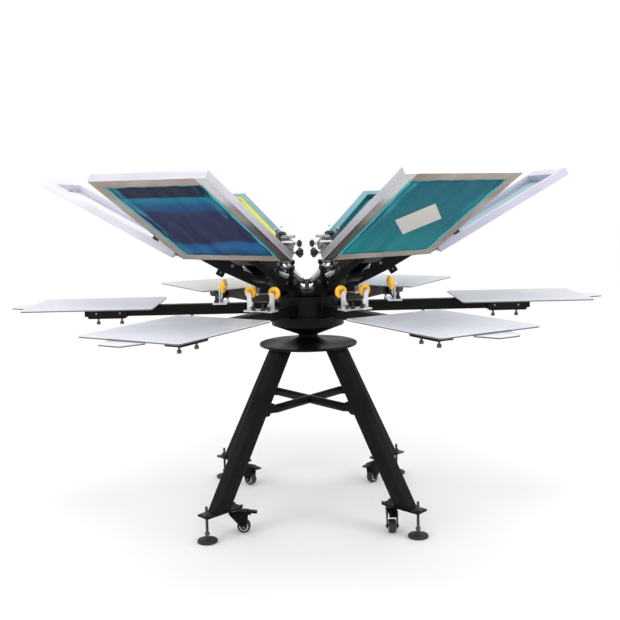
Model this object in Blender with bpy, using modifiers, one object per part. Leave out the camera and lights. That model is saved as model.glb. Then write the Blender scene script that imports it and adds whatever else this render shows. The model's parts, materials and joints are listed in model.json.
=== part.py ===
"""Screen printing carousel: six platens, six print heads and a four-legged stand.

Units are metres, +Z is up and the floor is Z = 0.  The vertical axis of both
carousels is X = Y = 0.  Everything that repeats at a station is built once in a
station frame, where X runs outward from the vertical axis, Y runs across the
station and Z is the height above the printing surface.  Each station is that
frame turned about the vertical axis and lifted by PLATEN_TOP.
"""

import math

import bmesh
import bpy
from mathutils import Matrix, Vector

# ---------------------------------------------------------------- driving sizes
PLATEN_TOP = 0.926          # printing surface above the floor
STATION_COUNT = 6
GAP = 0.0003                # clearance between pieces that rest on each other
RUNNING_GAP = 0.0005        # clearance between a shaft and its bore
DISC_ROUND = 24             # segments of the discs and drums on the vertical axis
ROUND = 18                  # segments of a smaller turned piece
ROLLER_ROUND = 14           # segments of a roller
SMALL_ROUND = 10            # segments of a pin, a bolt or a bore
CORNER_STEPS = 3            # segments of a board's rounded corner

# vertical axis
SPINDLE_R = 0.018
PEDESTAL_DISC_R = 0.213
PEDESTAL_DISC_Z = -0.190    # top of the disc
PEDESTAL_DISC_T = 0.009
PEDESTAL_TOP_Z = -0.165
PEDESTAL_NECK_R = 0.047
PEDESTAL_STEM_R = 0.050     # stub under the disc, between the leg tops
PEDESTAL_STEM_BOTTOM_Z = -0.215
SOCKET_DEPTH = 0.040
EDGE_BREAK = 0.002          # bevel of a disc's rim
HUB_DRUM_R = 0.135
HUB_TOP_Z = 0.022
HUB_FLANGE_R = 0.158
HUB_FLANGE_TOP_Z = -0.065
HUB_FLANGE_BOTTOM_Z = -0.108
HUB_CONE_R = 0.050
HUB_BOTTOM_Z = -0.150
BEARING_R = 0.043
TURRET_R = 0.125
TURRET_BOTTOM_Z = 0.028
TURRET_TOP_Z = 0.042
SPRING_POST_TOP_Z = 0.085
SPRING_POST_R = 0.009
SPRING_POST_BASE_R = 0.030
SPRING_POST_BASE_T = 0.006
SPRING_COLLAR_R = 0.022
SPRING_COLLAR_Z = (0.068, 0.076)

# platen arm, platen and the bracket that slides on the arm
ARM_SIDE = 0.046
ARM_WALL = 0.003
ARM_TOP_Z = -0.0095
ARM_INNER_R = 0.110
ARM_OUTER_R = 0.967
PLATEN_INNER_R = 0.640
PLATEN_LENGTH = 0.550
PLATEN_WIDTH = 0.430
PLATEN_T = 0.008
PLATEN_CORNER = 0.012
TAB_REACH = 0.080           # length of the tab beyond the board
TAB_LIP = 0.010             # height of the tab's turned-down end
TAB_T = 0.002
TAB_UNDERLAP = 0.030        # length of the tab under the board
TAB_HALF_WIDTHS = (0.080, 0.045)        # at the board and at the end
BRACKET_R = (0.781, 0.955)
BRACKET_WALL = 0.012
BRACKET_FLOOR_T = 0.007
BRACKET_BOLT_R = (0.811, 0.913)
BRACKET_BOLT_DROP = 0.028
BRACKET_BOLT_SIZE = 0.006

# registration gate and its two rollers
GATE_BASE_T = 0.006
GATE_BASE_R = (0.345, 0.408)
GATE_HALF_WIDTH = 0.064
EAR_R = (0.3735, 0.3785)
EAR_INNER = 0.032
EAR_TOP_Z = 0.071
ROLLER_CENTRE_R = 0.3625
ROLLER_OFFSET = 0.056
ROLLER_Z = 0.065
ROLLER_R = 0.025
ROLLER_T = 0.018
ROLLER_AXLE_R = 0.005
ROLLER_BEVEL = 0.004
GATE_BOLT_R = 0.008
GATE_BOLT_H = 0.026
GATE_BOLT_PLACE_R = 0.396
GATE_BOLT_OFFSET = 0.022

# print head: side plates, clamp and screen
HEAD_HINGE_R = 0.170
HEAD_HINGE_Z = 0.090
HINGE_PIN_R = 0.008
# degrees that each head is raised by, stations 1 to 6; the two rear heads sag a little
HEAD_TILTS = (30.3, 25.7, 25.7, 30.3, 30.3, 30.3)
CHEEK_INNER = 0.0255
CHEEK_OUTER = 0.0305
YOKE_INNER = 0.0315
YOKE_OUTER = 0.0395
# side view of a yoke cheek, as X and Z points
YOKE_OUTLINE = (
    (0.095, 0.032), (0.205, 0.032), (0.205, 0.052), (0.190, 0.106), (0.180, 0.112),
    (0.160, 0.112), (0.150, 0.106), (0.118, 0.048), (0.095, 0.040),
)
# side view of a head side plate with the head lowered, as X and Z points: underside
# from the heel out to the clamp, then the upper edge back over the lift spring's lug
HEAD_SIDE_OUTLINE = (
    (0.144, 0.094), (0.145, 0.077), (0.177, 0.042), (0.193, 0.040), (0.345, 0.0275), (0.470, 0.026),
    (0.512, 0.012), (0.530, 0.012), (0.530, 0.055), (0.470, 0.085), (0.400, 0.100), (0.296, 0.100),
    (0.284, 0.070), (0.224, 0.080), (0.206, 0.100), (0.219, 0.142), (0.202, 0.152), (0.176, 0.119),
    (0.159, 0.115),
)
# registration block that drops between the gate's rollers, with the head lowered
BLOCK_R = (0.345, 0.379)
BLOCK_Z = (0.003, 0.040)
BLOCK_HALF_WIDTH = 0.0303
# spacers between the side plates of a lowered head, as X, Z and radius; the last one
# is the lift spring's pin
HEAD_SPACERS = (
    (0.440, 0.060, 0.009), (0.330, 0.070, 0.009), (0.218, 0.062, 0.009), (0.205, 0.139, 0.005),
)
SCREEN_INNER_EDGE = (0.5533, 0.0029)    # X and Z of the lower inner edge, head lowered
SCREEN_LENGTH = 0.600
SCREEN_WIDTH = 0.500
SCREEN_T = 0.030
SCREEN_RIM = 0.045
SCREEN_SKIN_T = 0.0015
CLAMP_HALF_WIDTH = 0.205
CLAMP_DEPTH = 0.045
CLAMP_JAW_T = 0.006
CLAMP_JAW_REACH = 0.030

# stand
LEG_SIDE = 0.0625
LEG_WALL = 0.0025
LEG_TOP_R = 0.161
LEG_BOTTOM_R = 0.536
FOOT_PLATE_TOP = 0.112
FOOT_PLATE_T = 0.006
FOOT_PLATE_R = (0.432, 0.624)
FOOT_PLATE_HALF = 0.034
FOOT_ROD_R = 0.006
FOOT_ROD_PLACE_R = 0.600
FOOT_ROD_TOP = 0.147
FOOT_PAD_R = 0.041
FOOT_PAD_H = 0.012
FOOT_PAD_BEVEL = 0.003
FOOT_BOSS_R = 0.012
FOOT_BOSS_H = 0.018
FOOT_NUT_R = 0.011
FOOT_NUT_Z = (0.030, 0.040)
BRACE_Z = 0.481
BRACE_TUBE_R = 0.0185
BRACE_SOCKET_T = 0.026
BRACE_TUBE_SETBACK = 0.0185
BRACE_SOCKET_SIDE = 0.050
CASTER_PLACE_R = 0.460
CASTER_TRAIL = 0.042
CASTER_WHEEL_R = 0.0275
CASTER_WHEEL_T = 0.030
CASTER_AXLE_Z = 0.028
CASTER_AXLE_R = 0.004
CASTER_WHEEL_BEVEL = 0.004
CASTER_FORK_INNER = 0.0185
CASTER_FORK_T = 0.004
CASTER_DECK_X = (-0.018, 0.055)
CASTER_DECK_DROP = 0.012    # top of the fork's deck below the swivel's top
CASTER_DECK_T = 0.008
CASTER_SWIVEL_R = 0.020
CASTER_AXLE_HALF = 0.0265
CASTER_PEDAL_X = (0.050, 0.098)
CASTER_PEDAL_DROP = 0.004
CASTER_PEDAL_T = 0.006
CASTER_PEDAL_HALF = 0.016

LEGS = (
    ("front_left", 225.0, 0.0),
    ("front_right", 315.0, -90.0),
    ("rear_right", 45.0, 225.0),
    ("rear_left", 135.0, -35.0),
)

PARTS_NAME = "screen_printing_carousel"


# ------------------------------------------------------------------- basic tools
def clear_scene():
    for obj in list(bpy.data.objects):
        bpy.data.objects.remove(obj, do_unlink=True)
    for mesh in list(bpy.data.meshes):
        bpy.data.meshes.remove(mesh)


def make_material(name, color, roughness, metallic):
    material = bpy.data.materials.new(name)
    material.use_nodes = True
    shader = material.node_tree.nodes["Principled BSDF"]
    shader.inputs["Base Color"].default_value = (*color, 1.0)
    shader.inputs["Roughness"].default_value = roughness
    shader.inputs["Metallic"].default_value = metallic
    return material


def link_temporary(mesh, name="work"):
    obj = bpy.data.objects.new(name, mesh)
    bpy.context.scene.collection.objects.link(obj)
    return obj


def evaluated_mesh(obj):
    """The object's mesh with its modifiers applied, in the object's own frame."""
    bpy.context.view_layer.update()
    graph = bpy.context.evaluated_depsgraph_get()
    return bpy.data.meshes.new_from_object(obj.evaluated_get(graph))


def take_mesh(obj):
    """Applies the modifiers of a working object, removes it and returns its mesh."""
    mesh = evaluated_mesh(obj)
    bpy.data.objects.remove(obj, do_unlink=True)
    return mesh


def box(low, high):
    """A closed box between two corners."""
    low = Vector(low)
    high = Vector(high)
    mesh = bpy.data.meshes.new("box")
    bm = bmesh.new()
    bmesh.ops.create_cube(bm, size=1.0)
    size = Matrix.Diagonal((*(high - low), 1.0))
    bmesh.ops.transform(bm, matrix=Matrix.Translation((low + high) / 2) @ size, verts=bm.verts)
    bm.to_mesh(mesh)
    bm.free()
    return mesh


def cylinder(start, end, radius, segments=SMALL_ROUND):
    """A capped cylinder between two points."""
    start = Vector(start)
    end = Vector(end)
    span = end - start
    turn = span.to_track_quat("Z", "Y").to_matrix().to_4x4()
    mesh = bpy.data.meshes.new("cylinder")
    bm = bmesh.new()
    bmesh.ops.create_cone(
        bm, cap_ends=True, segments=segments, radius1=radius, radius2=radius, depth=span.length)
    bmesh.ops.transform(bm, matrix=Matrix.Translation((start + end) / 2) @ turn, verts=bm.verts)
    bm.to_mesh(mesh)
    bm.free()
    return mesh


def turned(profile, segments=ROUND, bored=False):
    """A Screw of (radius, height) points that run down the outer side.

    A solid profile starts and ends on the axis.  A bored profile is a closed loop.
    """
    mesh = bpy.data.meshes.new("turned")
    bm = bmesh.new()
    verts = [bm.verts.new((radius, 0.0, height)) for radius, height in profile]
    for first, second in zip(verts, verts[1:]):
        bm.edges.new((first, second))
    if bored:
        bm.edges.new((verts[-1], verts[0]))
    bm.to_mesh(mesh)
    bm.free()
    obj = link_temporary(mesh)
    screw = obj.modifiers.new("turn", "SCREW")
    screw.steps = segments
    screw.render_steps = segments
    screw.use_merge_vertices = True
    screw.merge_threshold = 0.00005
    screw.use_smooth_shade = True
    return take_mesh(obj)


def outline_plate(loops, low_y, high_y):
    """A flat plate in the XZ plane; the first loop is its edge, the others are openings."""
    curve = bpy.data.curves.new("outline", "CURVE")
    curve.dimensions = "2D"
    curve.fill_mode = "BOTH"
    curve.extrude = (high_y - low_y) / 2
    for loop in loops:
        spline = curve.splines.new("POLY")
        spline.points.add(len(loop) - 1)
        for point, (x, z) in zip(spline.points, loop):
            point.co = (x, z, 0.0, 1.0)
        spline.use_cyclic_u = True
    obj = bpy.data.objects.new("outline", curve)
    bpy.context.scene.collection.objects.link(obj)
    mesh = take_mesh(obj)
    bpy.data.curves.remove(curve)
    bm = bmesh.new()
    bm.from_mesh(mesh)
    bmesh.ops.remove_doubles(bm, verts=bm.verts, dist=0.00005)
    upright = Matrix.Translation((0.0, (low_y + high_y) / 2, 0.0)) @ Matrix.Rotation(math.pi / 2, 4, "X")
    bmesh.ops.transform(bm, matrix=upright, verts=bm.verts)
    bmesh.ops.recalc_face_normals(bm, faces=bm.faces)
    bm.to_mesh(mesh)
    bm.free()
    return mesh


def moved(mesh, matrix):
    mesh.transform(matrix)
    return mesh


def combine(operation, first, others):
    """Boolean union or difference of one mesh with each of the others in turn."""
    obj = link_temporary(first)
    helpers = []
    for other in others:
        helper = link_temporary(other, "helper")
        modifier = obj.modifiers.new(operation.lower(), "BOOLEAN")
        modifier.operation = operation
        modifier.solver = "EXACT"
        modifier.object = helper
        helpers.append(helper)
    mesh = take_mesh(obj)
    for helper in helpers:
        bpy.data.objects.remove(helper, do_unlink=True)
    return mesh


def union(first, *others):
    return combine("UNION", first, others)


def difference(first, *others):
    return combine("DIFFERENCE", first, others)


def circle_points(x, z, radius, segments=SMALL_ROUND):
    step = 2 * math.pi / segments
    return [(x + radius * math.cos(i * step), z + radius * math.sin(i * step)) for i in range(segments)]


def corner_arc(x, y, radius, start):
    """Points of a quarter circle about a centre, counter-clockwise from an angle."""
    step = math.pi / 2 / CORNER_STEPS
    return [
        (x + radius * math.cos(start + i * step), y + radius * math.sin(start + i * step))
        for i in range(CORNER_STEPS + 1)
    ]


# ---------------------------------------------------------------- placing pieces
def station_matrix(index):
    turn = Matrix.Rotation(math.radians(360.0 / STATION_COUNT * index), 4, "Z")
    return Matrix.Translation((0.0, 0.0, PLATEN_TOP)) @ turn


def place(name, mesh, material, matrix, pivot, parent):
    """Adds one piece whose origin is its pivot, given in the frame that matrix places."""
    obj = bpy.data.objects.new(name, mesh)
    if not mesh.materials:
        mesh.materials.append(material)
    bpy.data.collections[PARTS_NAME].objects.link(obj)
    obj.matrix_world = matrix @ Matrix.Translation(pivot)
    obj.parent = parent
    mesh.shade_smooth()
    mesh.set_sharp_from_angle(angle=math.radians(35.0))
    return obj


def about(mesh, pivot):
    """Moves a mesh so that its pivot becomes its origin."""
    return moved(mesh, Matrix.Translation(-Vector(pivot)))


def add_axis(name):
    """An empty on the vertical axis that carries the pieces of one carousel."""
    empty = bpy.data.objects.new(name, None)
    empty.empty_display_size = 0.2
    bpy.data.collections[PARTS_NAME].objects.link(empty)
    return empty


# ------------------------------------------------------------------------- stand
def pedestal_mesh():
    """Trumpet foot of the vertical axis, with a blind socket for the spindle."""
    under = PEDESTAL_DISC_Z - PEDESTAL_DISC_T
    bore = SPINDLE_R + GAP
    edge = PEDESTAL_DISC_R - EDGE_BREAK
    flare = []
    for fraction in (0.0, 0.04, 0.14, 0.36, 1.0):
        radius = PEDESTAL_NECK_R + (edge - PEDESTAL_NECK_R) * fraction
        rise = (PEDESTAL_TOP_Z - PEDESTAL_DISC_Z) * (1.0 - fraction) ** 6
        flare.append((radius, PEDESTAL_DISC_Z + rise))
    socket_floor = PEDESTAL_TOP_Z - SOCKET_DEPTH
    profile = [(0.0, socket_floor), (bore, socket_floor), (bore, PEDESTAL_TOP_Z)] + flare + [
        (PEDESTAL_DISC_R, PEDESTAL_DISC_Z - EDGE_BREAK),
        (PEDESTAL_DISC_R, under + EDGE_BREAK),
        (edge, under),
        (PEDESTAL_STEM_R, under),
        (PEDESTAL_STEM_R, PEDESTAL_STEM_BOTTOM_Z),
        (0.0, PEDESTAL_STEM_BOTTOM_Z),
    ]
    return turned(profile, DISC_ROUND)


def spindle_mesh():
    return cylinder((0, 0, PEDESTAL_TOP_Z - SOCKET_DEPTH + GAP), (0, 0, TURRET_TOP_Z), SPINDLE_R, ROUND)


def bearing_mesh(bottom, top):
    inner = SPINDLE_R + RUNNING_GAP
    return turned([
        (inner, top), (BEARING_R, top), (BEARING_R, bottom), (inner, bottom),
    ], bored=True)


def leg_slope():
    """Outward run of a leg for each metre it rises, as a negative number."""
    height = PLATEN_TOP + PEDESTAL_DISC_Z - PEDESTAL_DISC_T - FOOT_PLATE_TOP
    return (LEG_TOP_R - LEG_BOTTOM_R) / height


def leg_section_depth(side):
    """Horizontal depth of a leaning square tube that is cut level."""
    return side * math.hypot(1.0, leg_slope())


def leaning_box(side, width, bottom, top):
    """A box that leans with the leg between two heights."""
    depth = leg_section_depth(side)
    mesh = box((-depth / 2, -width / 2, bottom), (depth / 2, width / 2, top))
    lean = Matrix.Identity(4)
    lean[0][2] = leg_slope()
    lean[0][3] = LEG_BOTTOM_R - leg_slope() * FOOT_PLATE_TOP
    return moved(mesh, lean)


def leg_mesh():
    """Square tube, open at the top, with its foot plate; X runs outward, Z is the height."""
    top = PLATEN_TOP + PEDESTAL_DISC_Z - PEDESTAL_DISC_T - GAP
    tube = leaning_box(LEG_SIDE, LEG_SIDE, FOOT_PLATE_TOP - 0.001, top)
    hollow_side = LEG_SIDE - 2 * LEG_WALL
    hollow = leaning_box(hollow_side, hollow_side, FOOT_PLATE_TOP + 0.004, top + 0.01)
    plate = box(
        (FOOT_PLATE_R[0], -FOOT_PLATE_HALF, FOOT_PLATE_TOP - FOOT_PLATE_T),
        (FOOT_PLATE_R[1], FOOT_PLATE_HALF, FOOT_PLATE_TOP))
    rod_hole = cylinder(
        (FOOT_ROD_PLACE_R, 0, 0.1), (FOOT_ROD_PLACE_R, 0, 0.14), FOOT_ROD_R + RUNNING_GAP)
    return difference(union(difference(tube, hollow), plate), rod_hole)


def brace_tube(side):
    """One bent tube between two opposite legs; side is +1 or -1."""
    reach = (leg_face_r(BRACE_Z) - BRACE_TUBE_SETBACK) * math.sqrt(0.5)
    path = [
        (-reach, -reach), (-reach * 0.78, -reach * 0.93), (0.0, 0.0),
        (reach * 0.78, reach * 0.93), (reach, reach),
    ]
    curve = bpy.data.curves.new("brace", "CURVE")
    curve.dimensions = "3D"
    curve.bevel_depth = BRACE_TUBE_R
    curve.bevel_resolution = 2
    curve.use_fill_caps = True
    spline = curve.splines.new("POLY")
    spline.points.add(len(path) - 1)
    for point, (x, y) in zip(spline.points, path):
        point.co = (x, y * side, BRACE_Z, 1.0)
    obj = bpy.data.objects.new("brace", curve)
    bpy.context.scene.collection.objects.link(obj)
    mesh = take_mesh(obj)
    bpy.data.curves.remove(curve)
    bm = bmesh.new()
    bm.from_mesh(mesh)
    bmesh.ops.remove_doubles(bm, verts=bm.verts, dist=0.00005)
    bmesh.ops.recalc_face_normals(bm, faces=bm.faces)
    bm.to_mesh(mesh)
    bm.free()
    return mesh


def leg_face_r(height):
    """Distance of a leg's inner face from the vertical axis at a height."""
    centre = LEG_BOTTOM_R + leg_slope() * (height - FOOT_PLATE_TOP)
    return centre - leg_section_depth(LEG_SIDE) / 2 - GAP


def brace_socket(angle):
    """A socket block that lies against the inner face of one leg."""
    half = BRACE_SOCKET_SIDE / 2
    mesh = box((-BRACE_SOCKET_T, -half, -half), (0.0, half, half))
    lean = Matrix.Identity(4)
    lean[0][2] = leg_slope()
    out = Matrix.Translation((leg_face_r(BRACE_Z), 0.0, BRACE_Z))
    return moved(mesh, Matrix.Rotation(math.radians(angle), 4, "Z") @ out @ lean)


def brace_mesh():
    sockets = [brace_socket(angle) for _, angle, _ in LEGS]
    return union(brace_tube(1), brace_tube(-1), *sockets)


def levelling_foot_mesh():
    """Round pad on its threaded rod, with the lower nut."""
    bevel = FOOT_PAD_BEVEL
    pad = turned([
        (0.0, FOOT_ROD_TOP), (FOOT_ROD_R, FOOT_ROD_TOP), (FOOT_ROD_R, FOOT_BOSS_H),
        (FOOT_BOSS_R, FOOT_BOSS_H), (FOOT_PAD_R - bevel, FOOT_PAD_H), (FOOT_PAD_R, FOOT_PAD_H - bevel),
        (FOOT_PAD_R, bevel), (FOOT_PAD_R - bevel, 0.0), (0.0, 0.0),
    ])
    nut = cylinder((0, 0, FOOT_NUT_Z[0]), (0, 0, FOOT_NUT_Z[1]), FOOT_NUT_R, 6)
    return union(pad, nut)


def caster_fork_mesh():
    """Swivel fork with its axle and brake pedal; X runs from the swivel to the wheel."""
    top = FOOT_PLATE_TOP - FOOT_PLATE_T - GAP
    deck_top = top - CASTER_DECK_DROP
    deck_low = deck_top - CASTER_DECK_T
    back, front = CASTER_DECK_X
    outer = CASTER_FORK_INNER + CASTER_FORK_T
    swivel = cylinder((0, 0, deck_top - 0.001), (0, 0, top), CASTER_SWIVEL_R, ROUND)
    deck = box((back, -outer, deck_low), (front, outer, deck_top))
    eye = 3 * CASTER_AXLE_R
    outline = [
        (back, deck_low + 0.001), (CASTER_TRAIL - eye, CASTER_AXLE_Z - CASTER_AXLE_R),
        (CASTER_TRAIL, CASTER_AXLE_Z - eye), (CASTER_TRAIL + eye, CASTER_AXLE_Z),
        (front, deck_low + 0.001), (front, deck_top - 0.002), (back, deck_top - 0.002),
    ]
    cheeks = [
        outline_plate([outline], -outer, -CASTER_FORK_INNER),
        outline_plate([outline], CASTER_FORK_INNER, outer),
    ]
    axle = cylinder(
        (CASTER_TRAIL, -CASTER_AXLE_HALF, CASTER_AXLE_Z),
        (CASTER_TRAIL, CASTER_AXLE_HALF, CASTER_AXLE_Z), CASTER_AXLE_R)
    inner_x, tip_x = CASTER_PEDAL_X
    tip_low = deck_low - CASTER_PEDAL_DROP
    pedal = outline_plate([[
        (inner_x, deck_low), (tip_x, tip_low), (tip_x, tip_low + CASTER_PEDAL_T), (inner_x, deck_top),
    ]], -CASTER_PEDAL_HALF, CASTER_PEDAL_HALF)
    return union(deck, swivel, *cheeks, axle, pedal)


def bevelled_wheel(bore, radius, thickness, bevel, segments):
    """A bored wheel about the Z axis with bevelled rims."""
    half = thickness / 2
    return turned([
        (bore, half), (radius - bevel, half), (radius, half - bevel),
        (radius, bevel - half), (radius - bevel, -half), (bore, -half),
    ], segments, bored=True)


def caster_wheel_mesh():
    """Wheel whose axis is X = 0, Z = 0, running along Y."""
    mesh = bevelled_wheel(
        CASTER_AXLE_R + RUNNING_GAP, CASTER_WHEEL_R, CASTER_WHEEL_T, CASTER_WHEEL_BEVEL, ROUND)
    return moved(mesh, Matrix.Rotation(math.pi / 2, 4, "X"))


def build_stand(paint, steel, rubber):
    lift = Matrix.Translation((0.0, 0.0, PLATEN_TOP))
    axis = add_axis("stand_axis")
    origin = (0.0, 0.0, 0.0)
    place("pedestal_column", pedestal_mesh(), paint, lift, origin, axis)
    place("spindle", spindle_mesh(), steel, lift, origin, axis)
    lower = bearing_mesh(PEDESTAL_TOP_Z + GAP, HUB_BOTTOM_Z - GAP)
    place("lower_bearing", lower, steel, lift, origin, axis)
    upper = bearing_mesh(HUB_TOP_Z + GAP, TURRET_BOTTOM_Z - GAP)
    place("upper_bearing", upper, steel, lift, origin, axis)
    place("cross_brace", brace_mesh(), paint, Matrix.Identity(4), origin, axis)
    leg = leg_mesh()
    foot = levelling_foot_mesh()
    fork = caster_fork_mesh()
    wheel = caster_wheel_mesh()
    for corner, angle, trail_angle in LEGS:
        turn = Matrix.Rotation(math.radians(angle), 4, "Z")
        place("leg_" + corner, leg, paint, turn, origin, axis)
        foot_pivot = (FOOT_ROD_PLACE_R, 0.0, 0.0)
        place("levelling_foot_" + corner, foot, rubber, turn, foot_pivot, axis)
        swivel = Matrix.Translation(turn @ Vector((CASTER_PLACE_R, 0.0, 0.0)))
        swivel = swivel @ Matrix.Rotation(math.radians(trail_angle), 4, "Z")
        place("caster_fork_" + corner, fork, paint, swivel, origin, axis)
        wheel_pivot = (CASTER_TRAIL, 0.0, CASTER_AXLE_Z)
        place("caster_wheel_" + corner, wheel, rubber, swivel, wheel_pivot, axis)


# --------------------------------------------------------------- lower carousel
def arm_mesh():
    half = ARM_SIDE / 2
    return box(
        (ARM_INNER_R, -half, ARM_TOP_Z - ARM_SIDE), (ARM_OUTER_R, half, ARM_TOP_Z))


def arm_hollow_mesh():
    half = ARM_SIDE / 2 - ARM_WALL
    return box(
        (HUB_FLANGE_R + 0.01, -half, ARM_TOP_Z - ARM_SIDE + ARM_WALL),
        (ARM_OUTER_R + 0.01, half, ARM_TOP_Z - ARM_WALL))


def hub_mesh():
    """Drum, flange and cone on the spindle, with one square arm for each station."""
    bore = SPINDLE_R + RUNNING_GAP
    drum = turned([
        (bore, HUB_TOP_Z), (HUB_DRUM_R, HUB_TOP_Z), (HUB_DRUM_R, HUB_FLANGE_TOP_Z),
        (HUB_FLANGE_R, HUB_FLANGE_TOP_Z), (HUB_FLANGE_R, HUB_FLANGE_BOTTOM_Z),
        (HUB_CONE_R, HUB_BOTTOM_Z), (bore, HUB_BOTTOM_Z),
    ], DISC_ROUND, bored=True)
    arms = []
    hollows = []
    for index in range(STATION_COUNT):
        turn = Matrix.Rotation(math.radians(360.0 / STATION_COUNT * index), 4, "Z")
        arms.append(moved(arm_mesh(), turn))
        hollows.append(moved(arm_hollow_mesh(), turn))
    return difference(union(drum, *arms), *hollows)


def platen_outline():
    """Plan of the platen board, counter-clockwise, with rounded corners."""
    low = PLATEN_INNER_R + PLATEN_CORNER
    high = PLATEN_INNER_R + PLATEN_LENGTH - PLATEN_CORNER
    half = PLATEN_WIDTH / 2 - PLATEN_CORNER
    points = []
    for quarter, (x, y) in enumerate(((high, half), (low, half), (low, -half), (high, -half))):
        points += corner_arc(x, y, PLATEN_CORNER, quarter * math.pi / 2)
    return points


def laid_flat(loops, top_depth, bottom_depth):
    """Plate with its plan outline in X and Y, between two depths below the printing surface."""
    upright = outline_plate(loops, top_depth, bottom_depth)
    return moved(upright, Matrix.Rotation(-math.pi / 2, 4, "X"))


def tab_mesh():
    """Sheet tab under the outer edge, wide at the board, with a turned-down end."""
    edge = PLATEN_INNER_R + PLATEN_LENGTH
    start = edge - TAB_UNDERLAP
    end = edge + TAB_REACH
    wide, narrow = TAB_HALF_WIDTHS
    under = PLATEN_T - 0.0005
    strip = laid_flat([[
        (start, -wide), (edge, -wide), (end, -narrow), (end, narrow), (edge, wide), (start, wide),
    ]], under, under + TAB_T)
    lip = box((end - TAB_T, -narrow, -under - TAB_LIP), (end, narrow, -under))
    return union(strip, lip)


def platen_mesh():
    """Board, edge tab and the clamp bracket that wraps the arm."""
    board = laid_flat([platen_outline()], 0.0, PLATEN_T)
    inner_half = ARM_SIDE / 2 + RUNNING_GAP
    outer_half = inner_half + BRACKET_WALL
    cavity_floor = ARM_TOP_Z - ARM_SIDE - 2 * RUNNING_GAP
    bottom = cavity_floor - BRACKET_FLOOR_T
    sleeve = box(
        (BRACKET_R[0], -outer_half, bottom), (BRACKET_R[1], outer_half, -PLATEN_T + 0.001))
    cavity = box(
        (BRACKET_R[0] - 0.01, -inner_half, cavity_floor), (BRACKET_R[1] + 0.01, inner_half, -PLATEN_T))
    bolts = [
        cylinder((r, 0, bottom - BRACKET_BOLT_DROP), (r, 0, bottom + 0.002), BRACKET_BOLT_SIZE)
        for r in BRACKET_BOLT_R
    ]
    return difference(union(board, tab_mesh(), sleeve, *bolts), cavity)


def gate_mesh():
    """Base plate on the arm, two ears and the two roller axles."""
    low = ARM_TOP_Z + GAP
    high = low + GATE_BASE_T
    base = box((GATE_BASE_R[0], -GATE_HALF_WIDTH, low), (GATE_BASE_R[1], GATE_HALF_WIDTH, high))
    pieces = []
    for side in (-1.0, 1.0):
        inner = side * EAR_INNER
        outer = side * GATE_HALF_WIDTH
        pieces.append(box(
            (EAR_R[0], min(inner, outer), low), (EAR_R[1], max(inner, outer), EAR_TOP_Z)))
        axle_y = side * ROLLER_OFFSET
        pieces.append(cylinder(
            (ROLLER_CENTRE_R - ROLLER_T / 2 - 0.003, axle_y, ROLLER_Z),
            (EAR_R[0] + 0.002, axle_y, ROLLER_Z), ROLLER_AXLE_R))
        bolt_y = side * GATE_BOLT_OFFSET
        pieces.append(cylinder(
            (GATE_BOLT_PLACE_R, bolt_y, high - 0.001),
            (GATE_BOLT_PLACE_R, bolt_y, high + GATE_BOLT_H), GATE_BOLT_R, 6))
    return union(base, *pieces)


def roller_mesh():
    """Roller on an axis along X through its own origin."""
    mesh = bevelled_wheel(
        ROLLER_AXLE_R + RUNNING_GAP, ROLLER_R, ROLLER_T, ROLLER_BEVEL, ROLLER_ROUND)
    return moved(mesh, Matrix.Rotation(math.pi / 2, 4, "Y"))


def build_lower_carousel(paint, board, silver, yellow):
    axis = add_axis("platen_carousel_axis")
    lift = Matrix.Translation((0.0, 0.0, PLATEN_TOP))
    place("platen_hub", hub_mesh(), paint, lift, (0.0, 0.0, 0.0), axis)
    platen_pivot = ((BRACKET_R[0] + BRACKET_R[1]) / 2, 0.0, ARM_TOP_Z)
    platen = about(platen_mesh(), platen_pivot)
    gate = gate_mesh()
    roller = roller_mesh()
    for index in range(STATION_COUNT):
        station = station_matrix(index)
        number = str(index + 1)
        place("platen_" + number, platen, board, station, platen_pivot, axis)
        place("registration_gate_" + number, gate, silver, station, (0.0, 0.0, 0.0), axis)
        for label, side in (("right", -1.0), ("left", 1.0)):
            pivot = (ROLLER_CENTRE_R, side * ROLLER_OFFSET, ROLLER_Z)
            place("roller_%s_%s" % (number, label), roller, yellow, station, pivot, axis)


# ------------------------------------------------------------------- head turret
def yoke_mesh():
    """Two cheeks and the hinge pin that carry one print head."""
    cheeks = [
        outline_plate([YOKE_OUTLINE], YOKE_INNER, YOKE_OUTER),
        outline_plate([YOKE_OUTLINE], -YOKE_OUTER, -YOKE_INNER),
    ]
    pin = cylinder(
        (HEAD_HINGE_R, -YOKE_OUTER - 0.004, HEAD_HINGE_Z),
        (HEAD_HINGE_R, YOKE_OUTER + 0.004, HEAD_HINGE_Z), HINGE_PIN_R)
    return union(cheeks[0], cheeks[1], pin)


def turret_mesh():
    bore = SPINDLE_R + RUNNING_GAP
    disc = turned([
        (bore, TURRET_TOP_Z), (TURRET_R, TURRET_TOP_Z), (TURRET_R, TURRET_BOTTOM_Z),
        (bore, TURRET_BOTTOM_Z),
    ], DISC_ROUND, bored=True)
    yokes = []
    for index in range(STATION_COUNT):
        turn = Matrix.Rotation(math.radians(360.0 / STATION_COUNT * index), 4, "Z")
        yokes.append(moved(yoke_mesh(), turn))
    return union(disc, *yokes)


def spring_post_mesh():
    """Central post with its base and the collar that the lift springs hook onto."""
    bottom = TURRET_TOP_Z + GAP
    base_top = bottom + SPRING_POST_BASE_T
    collar_low, collar_top = SPRING_COLLAR_Z
    return turned([
        (0.0, SPRING_POST_TOP_Z), (SPRING_POST_R, SPRING_POST_TOP_Z), (SPRING_POST_R, collar_top),
        (SPRING_COLLAR_R, collar_top), (SPRING_COLLAR_R, collar_low), (SPRING_POST_R, collar_low),
        (SPRING_POST_R, base_top), (SPRING_POST_BASE_R, base_top), (SPRING_POST_BASE_R, bottom),
        (0.0, bottom),
    ])


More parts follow.
